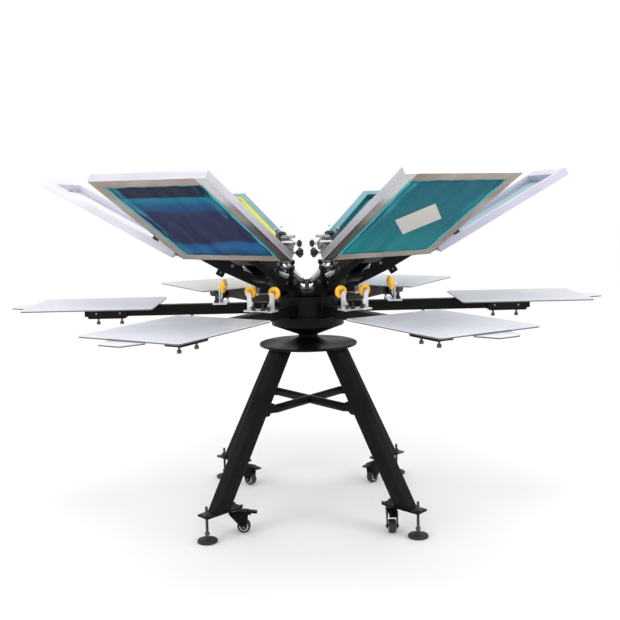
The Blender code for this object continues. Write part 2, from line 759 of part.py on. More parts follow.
def screen_frame_matrix():
    """Places the screen of a lowered head: X runs along it from its lower inner edge."""
    return Matrix.Translation((SCREEN_INNER_EDGE[0], 0.0, SCREEN_INNER_EDGE[1]))


def raised_matrix(tilt):
    """Swings a lowered head up about its hinge by an angle in degrees."""
    hinge = Vector((HEAD_HINGE_R, 0.0, HEAD_HINGE_Z))
    swing = Matrix.Rotation(-math.radians(tilt), 4, "Y")
    return Matrix.Translation(hinge) @ swing @ Matrix.Translation(-hinge)


def head_arm_mesh():
    """Side plates, spacers, registration block, and the clamp on the screen's inner rim."""
    bore = circle_points(HEAD_HINGE_R, HEAD_HINGE_Z, HINGE_PIN_R + RUNNING_GAP)
    loops = [HEAD_SIDE_OUTLINE, bore]
    left = outline_plate(loops, CHEEK_INNER, CHEEK_OUTER)
    right = outline_plate(loops, -CHEEK_OUTER, -CHEEK_INNER)
    half = CHEEK_INNER + 0.002
    spacers = [cylinder((x, -half, z), (x, half, z), radius) for x, z, radius in HEAD_SPACERS]
    block = box(
        (BLOCK_R[0], -BLOCK_HALF_WIDTH, BLOCK_Z[0]), (BLOCK_R[1], BLOCK_HALF_WIDTH, BLOCK_Z[1]))
    frame = screen_frame_matrix()
    beam = moved(box(
        (-CLAMP_DEPTH, -CLAMP_HALF_WIDTH, -0.001), (-GAP, CLAMP_HALF_WIDTH, SCREEN_T)), frame)
    jaw = moved(box(
        (-CLAMP_DEPTH, -CLAMP_HALF_WIDTH, SCREEN_T + GAP),
        (CLAMP_JAW_REACH, CLAMP_HALF_WIDTH, SCREEN_T + GAP + CLAMP_JAW_T)), frame)
    bridge = moved(box(
        (-CLAMP_DEPTH, -CLAMP_HALF_WIDTH, SCREEN_T - 0.002),
        (-CLAMP_DEPTH + 0.02, CLAMP_HALF_WIDTH, SCREEN_T + 0.002)), frame)
    return union(left, right, *spacers, block, beam, bridge, jaw)


def screen_mesh():
    """Aluminium frame with the stretched mesh as a thin floor at its underside."""
    half = SCREEN_WIDTH / 2
    frame = box((0.0, -half, 0.0), (SCREEN_LENGTH, half, SCREEN_T))
    pocket = box(
        (SCREEN_RIM, -half + SCREEN_RIM, SCREEN_SKIN_T),
        (SCREEN_LENGTH - SCREEN_RIM, half - SCREEN_RIM, SCREEN_T + 0.01))
    return moved(difference(frame, pocket), screen_frame_matrix())


def build_head_turret(paint, steel, silver):
    axis = add_axis("head_turret_axis")
    lift = Matrix.Translation((0.0, 0.0, PLATEN_TOP))
    origin = (0.0, 0.0, 0.0)
    place("head_turret", turret_mesh(), paint, lift, origin, axis)
    place("spring_post", spring_post_mesh(), steel, lift, origin, axis)
    hinge = (HEAD_HINGE_R, 0.0, HEAD_HINGE_Z)
    head_arm = about(head_arm_mesh(), hinge)
    screen = about(screen_mesh(), hinge)
    for index, tilt in enumerate(HEAD_TILTS):
        lifted = station_matrix(index) @ raised_matrix(tilt)
        number = str(index + 1)
        place("head_arm_" + number, head_arm, paint, lifted, hinge, axis)
        place("screen_" + number, screen, silver, lifted, hinge, axis)


def main():
    clear_scene()
    parts = bpy.data.collections.new(PARTS_NAME)
    bpy.context.scene.collection.children.link(parts)
    paint = make_material("black_paint", (0.02, 0.02, 0.022), 0.45, 0.0)
    board = make_material("platen_laminate", (0.78, 0.80, 0.82), 0.35, 0.0)
    silver = make_material("silver_aluminium", (0.62, 0.62, 0.65), 0.35, 1.0)
    steel = make_material("bright_steel", (0.55, 0.55, 0.56), 0.25, 1.0)
    yellow = make_material("yellow_nylon", (0.85, 0.55, 0.03), 0.45, 0.0)
    rubber = make_material("black_rubber", (0.015, 0.015, 0.015), 0.7, 0.0)
    build_stand(paint, steel, rubber)
    build_lower_carousel(paint, board, silver, yellow)
    build_head_turret(paint, steel, silver)


main()
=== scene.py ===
"""Looks of the screen printing carousel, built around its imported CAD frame.

Lengths are metres.  Pieces that repeat are modelled once in a station frame, where X runs
outward from the vertical axis, Y runs across the station and Z is the height above the
printing surface.  Stand pieces use a leg frame, where X runs outward along the leg and Z is
the height above the floor.  Each screen has its own frame: X up the screen from its inner
edge, Y across it, Z out of its upper side.
"""
import json
import math

import bmesh
import bpy
from mathutils import Matrix, Vector


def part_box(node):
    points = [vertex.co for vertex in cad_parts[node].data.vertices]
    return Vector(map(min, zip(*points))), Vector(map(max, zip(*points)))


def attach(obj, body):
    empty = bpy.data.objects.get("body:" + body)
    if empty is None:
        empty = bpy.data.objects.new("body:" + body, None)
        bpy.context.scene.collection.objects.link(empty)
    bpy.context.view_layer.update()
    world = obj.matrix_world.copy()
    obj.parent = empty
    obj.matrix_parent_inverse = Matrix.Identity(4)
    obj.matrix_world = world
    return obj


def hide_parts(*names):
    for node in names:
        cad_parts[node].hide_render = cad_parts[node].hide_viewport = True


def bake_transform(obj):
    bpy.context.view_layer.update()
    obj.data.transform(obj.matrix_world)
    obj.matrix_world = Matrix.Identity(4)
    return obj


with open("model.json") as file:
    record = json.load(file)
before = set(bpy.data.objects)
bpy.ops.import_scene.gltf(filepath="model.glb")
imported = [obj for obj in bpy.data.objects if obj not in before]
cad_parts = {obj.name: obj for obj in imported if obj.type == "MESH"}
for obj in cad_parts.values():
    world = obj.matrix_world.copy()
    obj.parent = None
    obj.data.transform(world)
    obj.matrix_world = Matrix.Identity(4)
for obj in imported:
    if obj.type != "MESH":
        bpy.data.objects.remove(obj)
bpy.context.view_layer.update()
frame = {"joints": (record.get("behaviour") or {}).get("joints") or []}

# ------------------------------------------------------------ places from the frame
JOINTS = {joint["name"]: joint for joint in frame["joints"]}
STATIONS = (1, 2, 3, 4, 5, 6)
CORNERS = ("front_left", "front_right", "rear_right", "rear_left")
PLATEN_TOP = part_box("platen_1")[1].z
LIFT = Matrix.Translation((0.0, 0.0, PLATEN_TOP))
TILTS = {
    number: math.radians(JOINTS["head_lift_%d" % number]["range_deg"][1]) for number in STATIONS}
HINGE_R = JOINTS["head_lift_1"]["pos_m"][0]
HINGE_Z = JOINTS["head_lift_1"]["pos_m"][2] - PLATEN_TOP


def station_box(node):
    """Corners of a station 1 node in the station frame."""
    low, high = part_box(node)
    drop = Vector((0.0, 0.0, PLATEN_TOP))
    return low - drop, high - drop


def turn_towards(x, y):
    return Matrix.Rotation(math.atan2(y, x), 4, "Z")


def station_turn(number):
    x, y, _ = JOINTS["platen_slide_%d" % number]["axis"]
    return turn_towards(x, y)


def station_matrix(number):
    return LIFT @ station_turn(number)


def raised_matrix(number):
    """Swings a piece of a lowered head, in the station frame, up to that head's rest."""
    hinge = Vector((HINGE_R, 0.0, HINGE_Z))
    swing = Matrix.Rotation(-TILTS[number], 4, "Y")
    return Matrix.Translation(hinge) @ swing @ Matrix.Translation(-hinge)


def screen_size():
    """Length and thickness of the tilted screen, from the box around it."""
    low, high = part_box("screen_1")
    span = high - low
    tilt = TILTS[1]
    spread = math.cos(2 * tilt)
    length = (math.cos(tilt) * span.x - math.sin(tilt) * span.z) / spread
    thickness = (math.cos(tilt) * span.z - math.sin(tilt) * span.x) / spread
    return length, thickness


SCREEN_L, SCREEN_T = screen_size()
SCREEN_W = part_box("screen_1")[1].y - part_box("screen_1")[0].y
SCREEN_LOW, _ = station_box("screen_1")
SCREEN_EDGE = Vector((SCREEN_LOW.x + SCREEN_T * math.sin(TILTS[1]), 0.0, SCREEN_LOW.z))
# the frame of the screen on a lowered head
SCREEN_FRAME = Matrix.Translation(raised_matrix(1).inverted() @ SCREEN_EDGE)
SCREEN_RIM = 0.045


# ------------------------------------------------------------------- mesh building
ON_AXIS = 1e-7      # profile points nearer than this are on the axis


def linked(name, data):
    """A new object in the scene."""
    obj = bpy.data.objects.new(name, data)
    bpy.context.scene.collection.objects.link(obj)
    return obj


def aimed(axis, own_axis="Z"):
    """Rotation that points one of a mesh's own axes along a direction."""
    return Vector(axis).to_track_quat(own_axis, "Y").to_matrix().to_4x4()


def mesh_from(bm):
    mesh = bpy.data.meshes.new("shape")
    bmesh.ops.recalc_face_normals(bm, faces=bm.faces)
    bm.to_mesh(mesh)
    bm.free()
    return mesh


def block(low, high, bevel=0.001, segments=2):
    """A box between two corners with rounded edges."""
    low = Vector(low)
    high = Vector(high)
    bm = bmesh.new()
    bmesh.ops.create_cube(bm, size=1.0)
    size = Matrix.Diagonal((*(high - low), 1.0))
    bmesh.ops.transform(bm, matrix=Matrix.Translation((low + high) / 2) @ size, verts=bm.verts)
    if bevel:
        bmesh.ops.bevel(
            bm, geom=bm.edges[:], offset=bevel, segments=segments, profile=0.5, affect="EDGES")
    return mesh_from(bm)


def lathe(profile, segments):
    """A solid of revolution about Z; a closed loop of points that stays off the axis is bored."""
    bm = bmesh.new()
    rings = []
    for radius, height in profile:
        ring = []
        for step in range(1 if radius < ON_AXIS else segments):
            angle = 2 * math.pi * step / segments
            ring.append(bm.verts.new((radius * math.cos(angle), radius * math.sin(angle), height)))
        rings.append(ring)
    pairs = list(zip(rings, rings[1:]))
    if len(rings[0]) > 1 and len(rings[-1]) > 1:
        pairs.append((rings[-1], rings[0]))
    for first, second in pairs:
        for step in range(segments):
            following = (step + 1) % segments
            corners = [first[step % len(first)], first[following % len(first)],
                       second[following % len(second)], second[step % len(second)]]
            unique = list(dict.fromkeys(corners))
            if len(unique) > 2:
                bm.faces.new(unique)
    return mesh_from(bm)


def rounded_profile(points, radius=0.001, steps=3):
    """Rounds the corners of a (radius, height) profile, apart from those on the axis."""
    result = []
    count = len(points)
    closed = points[0][0] > ON_AXIS and points[-1][0] > ON_AXIS
    for index, point in enumerate(points):
        here = Vector(point)
        if not closed and index in (0, count - 1):
            result.append(point)
            continue
        before = Vector(points[index - 1])
        after = Vector(points[(index + 1) % count])
        reach = min(radius, (here - before).length * 0.45, (after - here).length * 0.45)
        start = here + (before - here).normalized() * reach
        end = here + (after - here).normalized() * reach
        for step in range(steps + 1):
            t = step / steps
            mixed = start * (1 - t) ** 2 + here * 2 * t * (1 - t) + end * t ** 2
            result.append((mixed.x, mixed.y))
    return result


def turned(points, segments, radius=0.001, steps=3):
    """A solid of revolution whose profile has rounded corners."""
    return lathe(rounded_profile(points, radius, steps), segments)


def both_faces(points):
    """The upper half of a profile followed by its mirror image."""
    return points + [(radius, -height) for radius, height in reversed(points)]


def rod(start, end, radius, segments=24, bevel=0.0006):
    """A round bar between two points with broken edges."""
    start = Vector(start)
    end = Vector(end)
    length = (end - start).length
    mesh = turned([(0.0, length), (radius, length), (radius, 0.0), (0.0, 0.0)], segments, bevel)
    mesh.transform(Matrix.Translation(start) @ aimed(end - start))
    return mesh


def plate(loops, low, high, bevel=0.0008, plane="XZ"):
    """A flat plate with rounded edges; the first loop is its edge, the others are openings."""
    curve = bpy.data.curves.new("outline", "CURVE")
    curve.dimensions = "2D"
    curve.fill_mode = "BOTH"
    curve.bevel_depth = bevel
    curve.bevel_resolution = 1
    curve.offset = -bevel
    curve.extrude = (high - low) / 2 - bevel
    for loop in loops:
        spline = curve.splines.new("POLY")
        spline.points.add(len(loop) - 1)
        for point, (x, y) in zip(spline.points, loop):
            point.co = (x, y, 0.0, 1.0)
        spline.use_cyclic_u = True
    obj = linked("outline", curve)
    bpy.context.view_layer.update()
    graph = bpy.context.evaluated_depsgraph_get()
    mesh = bpy.data.meshes.new_from_object(obj.evaluated_get(graph))
    bpy.data.objects.remove(obj, do_unlink=True)
    bpy.data.curves.remove(curve)
    bm = bmesh.new()
    bm.from_mesh(mesh)
    bpy.data.meshes.remove(mesh)
    bmesh.ops.remove_doubles(bm, verts=bm.verts, dist=0.00002)
    middle = (low + high) / 2
    if plane == "XZ":
        stand = Matrix.Translation((0.0, middle, 0.0)) @ Matrix.Rotation(math.pi / 2, 4, "X")
    elif plane == "YZ":
        upright = Matrix(((0, 0, 1, 0), (1, 0, 0, 0), (0, 1, 0, 0), (0, 0, 0, 1)))
        stand = Matrix.Translation((middle, 0.0, 0.0)) @ upright
    else:
        stand = Matrix.Translation((0.0, 0.0, middle))
    bmesh.ops.transform(bm, matrix=stand, verts=bm.verts)
    return mesh_from(bm)


def sweep(points, radius, segments=10):
    """A round wire through a row of points, with flat ends."""
    points = [Vector(point) for point in points]
    bm = bmesh.new()
    tangent = (points[1] - points[0]).normalized()
    side = tangent.orthogonal().normalized()
    rings = []
    for index, point in enumerate(points):
        ahead = points[min(index + 1, len(points) - 1)]
        behind = points[max(index - 1, 0)]
        tangent = (ahead - behind).normalized()
        side = (side - tangent * side.dot(tangent)).normalized()
        other = tangent.cross(side)
        ring = []
        for step in range(segments):
            angle = 2 * math.pi * step / segments
            out = side * math.cos(angle) + other * math.sin(angle)
            ring.append(bm.verts.new(point + out * radius))
        rings.append(ring)
    for first, second in zip(rings, rings[1:]):
        for step in range(segments):
            following = (step + 1) % segments
            bm.faces.new((first[step], first[following], second[following], second[step]))
    bm.faces.new(rings[0])
    bm.faces.new(rings[-1])
    return mesh_from(bm)


def coil(start, end, coil_r, wire_r, turns, steps=14):
    """Centre line of a helical spring between two points."""
    start = Vector(start)
    end = Vector(end)
    axis = (end - start).normalized()
    side = axis.orthogonal().normalized()
    other = axis.cross(side)
    length = (end - start).length - 2 * wire_r
    points = []
    for index in range(int(turns * steps) + 1):
        share = index / (turns * steps)
        angle = 2 * math.pi * turns * share
        along = start + axis * (wire_r + length * share)
        points.append(along + (side * math.cos(angle) + other * math.sin(angle)) * coil_r)
    return points


def hexagon(centre, axis, width, height, turn=0.0):
    """A hexagonal nut or bolt head standing on a face, with chamfered corners."""
    radius = width / math.sqrt(3)
    mesh = lathe([
        (0.0, height), (radius * 0.86, height), (radius, height * 0.86), (radius, 0.0),
        (0.0, 0.0)], 6)
    spin = Matrix.Rotation(turn, 4, "Z")
    mesh.transform(Matrix.Translation(Vector(centre)) @ aimed(axis) @ spin)
    return mesh


def screw_with_washer(centre, axis, width, height, turn=0.0):
    """A washer with a hexagonal head on it, as two meshes."""
    centre = Vector(centre)
    axis = Vector(axis).normalized()
    thickness = width * 0.12
    washer = rod(centre, centre + axis * thickness, width * 0.78, 28, thickness * 0.3)
    return [washer, hexagon(centre + axis * thickness, axis, width, height, turn)]


def side_block(side, near, far, bevel):
    """A block given by two corners on the +Y side, or its mirror image for side -1."""
    low_y, high_y = sorted((side * near[1], side * far[1]))
    return block((near[0], low_y, near[2]), (far[0], high_y, far[2]), bevel, 3)


def side_plate(outline, side, inner, outer, bevel=0.0008):
    """An upright plate between two distances from the middle, on one side of it."""
    return plate([outline], *sorted((side * inner, side * outer)), bevel)


def star_knob(centre, axis, radius, height):
    """A lobed grip knob on a short hub."""
    outline = []
    lobes = 6
    for step in range(72):
        angle = 2 * math.pi * step / 72
        reach = radius * (0.88 + 0.12 * math.cos(lobes * angle))
        outline.append((reach * math.cos(angle), reach * math.sin(angle)))
    grip = plate([outline], height * 0.35, height, 0.003, "XY")
    hub = turned([
        (0.0, height * 0.4), (radius * 0.55, height * 0.4), (radius * 0.42, 0.0), (0.0, 0.0)], 32)
    place = Matrix.Translation(Vector(centre)) @ aimed(axis)
    grip.transform(place)
    hub.transform(place)
    return [grip, hub]


def arc(x, y, radius, start, sweep_angle, steps=8):
    return [
        (x + radius * math.cos(start + sweep_angle * i / steps),
         y + radius * math.sin(start + sweep_angle * i / steps))
        for i in range(steps + 1)
    ]


def rounded_rectangle(low, high, radius, steps=6):
    """Corner points of a rectangle with equal rounded corners, counter-clockwise."""
    quarter = math.pi / 2
    return (
        arc(high[0] - radius, high[1] - radius, radius, 0.0, quarter, steps)
        + arc(low[0] + radius, high[1] - radius, radius, quarter, quarter, steps)
        + arc(low[0] + radius, low[1] + radius, radius, 2 * quarter, quarter, steps)
        + arc(high[0] - radius, low[1] + radius, radius, 3 * quarter, quarter, steps)
    )


def joined(parts):
    """One mesh from (mesh, material) pairs."""
    bm = bmesh.new()
    materials = []
    for mesh, material in parts:
        if material not in materials:
            materials.append(material)
        known = len(bm.faces)
        bm.from_mesh(mesh)
        bm.faces.ensure_lookup_table()
        for face in bm.faces[known:]:
            face.material_index = materials.index(material)
    mesh = bpy.data.meshes.new("joined")
    bm.to_mesh(mesh)
    bm.free()
    for material in materials:
        mesh.materials.append(material)
    mesh.shade_smooth()
    mesh.set_sharp_from_angle(angle=math.radians(40.0))
    return mesh


def in_material(material, *meshes):
    flat = []
    for mesh in meshes:
        flat += mesh if isinstance(mesh, list) else [mesh]
    return [(mesh, material) for mesh in flat]


def show(name, mesh, matrix, body, nodes=()):
    """Adds one piece that rides on a CAD body and stands for CAD nodes."""
    obj = linked(name, mesh)
    obj.matrix_world = matrix
    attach(obj, body)
    if nodes:
        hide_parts(*nodes)


# ---------------------------------------------------------------------- materials
class Signal:
    """One output of a shader node; operators make the nodes that combine it."""

    def __init__(self, shader, socket):
        self.shader = shader
        self.socket = socket

    def __add__(self, other):
        return self.shader.math("ADD", self, other)

    def __sub__(self, other):
        return self.shader.math("SUBTRACT", self, other)

    def __rsub__(self, other):
        return self.shader.math("SUBTRACT", other, self)

    def __mul__(self, other):
        return self.shader.math("MULTIPLY", self, other)

    def __truediv__(self, other):
        return self.shader.math("DIVIDE", self, other)

    def __abs__(self):
        return self.shader.math("ABSOLUTE", self)

    def smooth(self, low, high, start=0.0, end=1.0):
        """Smooth step of the value between two limits."""
        node = self.shader.add("ShaderNodeMapRange")
        node.interpolation_type = "SMOOTHSTEP"
        self.shader.feed(node.inputs["Value"], self)
        limits = {"From Min": low, "From Max": high, "To Min": start, "To Max": end}
        for socket, value in limits.items():
            node.inputs[socket].default_value = value
        return Signal(self.shader, node.outputs[0])

    def band(self, low, high, fall_low, fall_high):
        """One between two smooth steps, and zero outside them."""
        return self.smooth(low, high) * self.smooth(fall_low, fall_high, 1.0, 0.0)


class Shader:
    """A Principled material with procedural inputs in the piece's own metres."""

    def __init__(self, name, roughness=0.5, metallic=0.0):
        self.material = bpy.data.materials.new(name)
        self.material.use_nodes = True
        self.tree = self.material.node_tree
        self.bsdf = self.tree.nodes["Principled BSDF"]
        self.coords = self.add("ShaderNodeTexCoord")
        self.put("Roughness", roughness)
        self.put("Metallic", metallic)

    def add(self, kind):
        return self.tree.nodes.new(kind)

    def put(self, socket, value):
        self.feed(self.bsdf.inputs[socket], value)

    def feed(self, socket, value):
        if isinstance(value, Signal):
            self.tree.links.new(value.socket, socket)
        elif isinstance(value, tuple) and socket.type == "RGBA":
            socket.default_value = (*value, 1.0)
        else:
            socket.default_value = value

    def split(self, source):
        """X, Y and Z of the piece's own coordinates, "Object", or of its "Normal"."""
        node = self.add("ShaderNodeSeparateXYZ")
        self.tree.links.new(self.coords.outputs[source], node.inputs[0])
        return [Signal(self, output) for output in node.outputs]

    def math(self, operation, first, second=0.0):
        node = self.add("ShaderNodeMath")
        node.operation = operation
        self.feed(node.inputs[0], first)
        self.feed(node.inputs[1], second)
        return Signal(self, node.outputs[0])

    def noise(self, scale, detail=3.0, stretch=(1.0, 1.0, 1.0), distortion=0.0):
        mapping = self.add("ShaderNodeMapping")
        mapping.inputs["Scale"].default_value = stretch
        self.tree.links.new(self.coords.outputs["Object"], mapping.inputs["Vector"])
        node = self.add("ShaderNodeTexNoise")
        self.tree.links.new(mapping.outputs[0], node.inputs["Vector"])
        for socket, value in {"Scale": scale, "Detail": detail, "Distortion": distortion}.items():
            node.inputs[socket].default_value = value
        return Signal(self, node.outputs["Fac"])

    def mix(self, share, first, second):
        node = self.add("ShaderNodeMix")
        node.data_type = "RGBA"
        for index, value in ((0, share), (6, first), (7, second)):
            self.feed(node.inputs[index], value)
        return Signal(self, node.outputs[2])

    def finish(self, color, roughness, height, strength, distance):
        """Sets the colour, the roughness, unless it is None, and the bump."""
        self.put("Base Color", color)
        if roughness is not None:
            self.put("Roughness", roughness)
        node = self.add("ShaderNodeBump")
        node.inputs["Strength"].default_value = strength
        node.inputs["Distance"].default_value = distance
        self.feed(node.inputs["Height"], height)
        self.put("Normal", Signal(self, node.outputs[0]))
        return self.material


def toned(color, share, lift=0.0):
    return tuple(channel * share + lift for channel in color)


def powder_coat(name, color, shine):
    """Satin powder coat: orange peel, a little dust on faces that look up."""
    shader = Shader(name)
    cloud = shader.noise(9.0, 4.0)
    up = shader.split("Normal")[2]
    dust = up.smooth(0.3, 1.0) * cloud.smooth(0.45, 0.8)
    shader.put("Specular IOR Level", 0.10)
    return shader.finish(
        shader.mix(dust * 0.55, color, toned(color, 2.2, 0.012)),
        cloud.smooth(0.3, 0.75, shine - 0.07, shine + 0.10), shader.noise(900.0, 2.0), 0.22, 0.0004)


def brushed_metal(name, color, roughness, scale=60.0, tint=None):
    """Metal with fine lines along one direction and soft stains."""
    shader = Shader(name, metallic=0.92)
    lines = shader.noise(scale, 3.0, (1.0, 30.0, 30.0))
    stain = shader.noise(14.0, 4.0).smooth(0.35, 0.72)
    return shader.finish(
        shader.mix(stain, color, tint or toned(color, 0.78)),
        lines.smooth(0.3, 0.7, roughness - 0.06, roughness + 0.12), lines, 0.12, 0.0004)


def laminate():
    """Pale platen laminate: soft mottling, faint scuffs and a fine pebble."""
    shader = Shader("platen_laminate")
    cloud = shader.noise(5.0, 5.0).smooth(0.35, 0.7)
    scuff = shader.noise(38.0, 2.0, (1.0, 9.0, 1.0), 0.4)
    tone = shader.mix(cloud, (0.60, 0.62, 0.69), (0.66, 0.67, 0.72))
    return shader.finish(
        shader.mix(scuff.smooth(0.66, 0.9, 0.0, 0.35), tone, (0.5, 0.51, 0.55)),
        scuff.smooth(0.3, 0.8, 0.30, 0.48), shader.noise(1400.0, 1.0), 0.10, 0.0002)


def board_edge():
    """Dark cut edge of the platen board, with the lines of its layers."""
    shader = Shader("platen_edge", roughness=0.7)
    layers = shader.noise(420.0, 2.0, (0.05, 0.05, 6.0))
    return shader.finish(
        shader.mix(layers, (0.10, 0.095, 0.095), (0.22, 0.21, 0.21)), None, layers, 0.3, 0.0003)


def nylon():
    """Turned yellow nylon with faint lathe rings and a warmer core."""
    shader = Shader("roller_nylon", roughness=0.38)
    rings = shader.noise(260.0, 2.0, (4.0, 1.0, 1.0))
    _, y, z = shader.split("Object")
    radius = shader.math("SQRT", y * y + z * z)
    tone = shader.mix(radius.smooth(0.006, 0.014), (0.62, 0.16, 0.02), (0.92, 0.50, 0.012))
    shader.put("Subsurface Weight", 0.12)
    shader.put("Subsurface Radius", (0.004, 0.002, 0.0005))
    return shader.finish(
        shader.mix(rings.smooth(0.4, 0.8, 0.0, 0.35), tone, (0.80, 0.36, 0.01)), None, rings, 0.15, 0.0004)


def rubber(name, color):
    shader = Shader(name)
    grain = shader.noise(700.0, 2.0)
    return shader.finish(
        shader.mix(shader.noise(20.0), color, toned(color, 1.8, 0.004)),
        grain.smooth(0.3, 0.7, 0.55, 0.8), grain, 0.3, 0.0004)


def plastic(name, color, roughness):
    shader = Shader(name)
    grain = shader.noise(500.0, 2.0)
    return shader.finish(
        shader.mix(shader.noise(25.0), color, toned(color, 0.8)),
        grain.smooth(0.3, 0.7, roughness - 0.05, roughness + 0.1), grain, 0.12, 0.0003)


def screen_distances(shader):
    """X, Y, and the distances from the screen's nearer end and its nearer side."""
    x, y, _ = shader.split("Object")
    return x, y, shader.math("MINIMUM", x, SCREEN_L - x), SCREEN_W / 2 - abs(y)


def frame_aluminium(name, shaded_near_top, far_top, clamp_shadow_side=0, lit_outer_end=None, stain=None):
    """Mill aluminium box section: lines along each member, weld marks at the mitred corners.

    The two colours are those of the upper faces near the clamp and at the outer end; the
    darker colour near the clamp is painted shade.  Faces that look down get a taupe painted
    reflection.  clamp_shadow_side is the side of the screen, +1 or -1, whose underside gets a painted
    clamp shadow near the clamp and a painted silver reflection further out, and lit_outer_end is
    the colour of the face at the outer end, a painted highlight.  The stain is the colour of ink
    left on the walls that face the mesh.
    """
    shader = Shader(name, metallic=0.35)
    x, y, end, side = screen_distances(shader)
    up = shader.split("Normal")[2]
    rim = shader.math("MAXIMUM", end, side).smooth(0.0, SCREEN_RIM * 1.1, 1.0, 0.0)
    weld = abs(end - side).smooth(0.0004, 0.0022, 1.0, 0.0) * rim.smooth(0.0, 0.05)
    lines = shader.noise(50.0, 3.0, (1.0, 14.0, 14.0))
    cloud = shader.noise(6.0, 4.0).smooth(0.3, 0.75)
    # upper faces darker near the clamp than at the outer end: painted shade
    near = shader.mix(cloud, shaded_near_top, toned(shaded_near_top, 0.8))
    far = shader.mix(cloud, far_top, toned(far_top, 0.88))
    top = shader.mix(x.smooth(0.02, 0.40), near, far)
    # painted highlight on the face at the outer end
    if lit_outer_end:
        top = shader.mix(x.smooth(SCREEN_L - 0.006, SCREEN_L - 0.002), top, lit_outer_end)
    if stain:
        depth = shader.math("MINIMUM", end, side)
        top = shader.mix(depth.smooth(SCREEN_RIM - 0.0012, SCREEN_RIM - 0.0004), top, stain)
    # painted reflection: faces that look down take a taupe colour
    painted_underside = shader.mix(cloud, (0.26, 0.195, 0.155), (0.36, 0.31, 0.275))
    # painted shadow of the clamp on one side of the underside, near black at the inner end, then a painted
    # silver reflection further out
    if clamp_shadow_side:
        inner_y = SCREEN_W / 2 - SCREEN_RIM
        tone = shader.mix(x.smooth(0.24, 0.34), (0.008, 0.007, 0.007), (0.26, 0.20, 0.17))
        tone = shader.mix(x.smooth(0.38, 0.48), tone, (0.58, 0.57, 0.58))
        painted_underside = shader.mix((y * clamp_shadow_side).smooth(inner_y - 0.004, inner_y), painted_underside, tone)
    color = shader.mix(up.smooth(-0.9, -0.5, 1.0, 0.0), top, painted_underside)
    return shader.finish(
        shader.mix(weld * 0.5, color, (0.25, 0.24, 0.24)), lines.smooth(0.3, 0.7, 0.30, 0.46),
        lines - weld, 0.10, 0.0006)


def field_ramp(shader, along, stops):
    """Colours of the field between the stops, by the distance along the screen."""
    node = shader.add("ShaderNodeValToRGB")
    ramp = node.color_ramp
    ramp.interpolation = "EASE"
    ramp.elements.remove(ramp.elements[1])
    for index, (distance, color) in enumerate(stops):
        stop = ramp.elements[0] if index == 0 else ramp.elements.new(distance / SCREEN_L)
        stop.position = distance / SCREEN_L
        stop.color = (*color, 1.0)
    shader.feed(node.inputs["Fac"], along / SCREEN_L)
    return Signal(shader, node.outputs["Color"])


def screen_fabric(name, fringe, stops, streak, patch=None, width=0.054):
    """Stretched mesh with a dried film: a stained fringe, a dragged field and a fine weave.

    The fringe colour shows along the frame.  The stops are (distance up the screen, colour)
    pairs of the field, the streak is the colour of the drag marks across them, and the patch
    is the colour of a plain shape left open in the field.  The width is that of the frame
    with its fringe.
    """
    shader = Shader(name)
    x, y, end, side = screen_distances(shader)
    wander = (shader.noise(16.0, 4.0) - 0.5) * 0.022
    inset = shader.math("MINIMUM", end + 0.010, side) + wander
    flank = side + wander
    wide_wander = (shader.noise(5.0, 4.0, (1.0, 0.7, 1.0)) - 0.5) * 0.16
    calm = (SCREEN_L - x).smooth(0.10, 0.30, 0.06, 1.0)
    field = field_ramp(shader, x + wide_wander * calm, stops)
    drag = shader.noise(7.0, 4.0, (0.35, 2.4, 1.0), 0.6)
    tone = shader.mix(drag.smooth(0.50, 0.80, 0.0, 0.55), field, streak)
    color = shader.mix(inset.smooth(width - 0.004, width + 0.004), fringe, tone)
    torn = shader.noise(9.0, 5.0, (0.5, 1.6, 1.0), 1.2).smooth(0.47, 0.62, 0.0, 0.60)
    wisp = flank.band(width + 0.004, width + 0.010, width + 0.022, width + 0.042)
    color = shader.mix(wisp * torn, color, toned(fringe, 0.8))
    broken = shader.noise(5.0, 2.0).smooth(0.40, 0.55, 0.0, 0.7)
    line = inset.band(width + 0.002, width + 0.006, width + 0.008, width + 0.014)
    color = shader.mix(line * broken, color, toned(streak, 0.35))
    if patch:
        reach = abs(y / 0.105) + abs((x - SCREEN_L * 0.49) / 0.112)
        color = shader.mix(reach.smooth(0.97, 1.0, 1.0, 0.0), color, patch)
    shader.put("Specular IOR Level", 0.08)
    weave = shader.add("ShaderNodeTexChecker")
    weave.inputs["Scale"].default_value = 1400.0
    shader.tree.links.new(shader.coords.outputs["Object"], weave.inputs["Vector"])
    height = Signal(shader, weave.outputs["Fac"]) * 0.25 + drag * 2.0
    return shader.finish(color, drag.smooth(0.3, 0.7, 0.42, 0.60), height, 0.12, 0.0006)


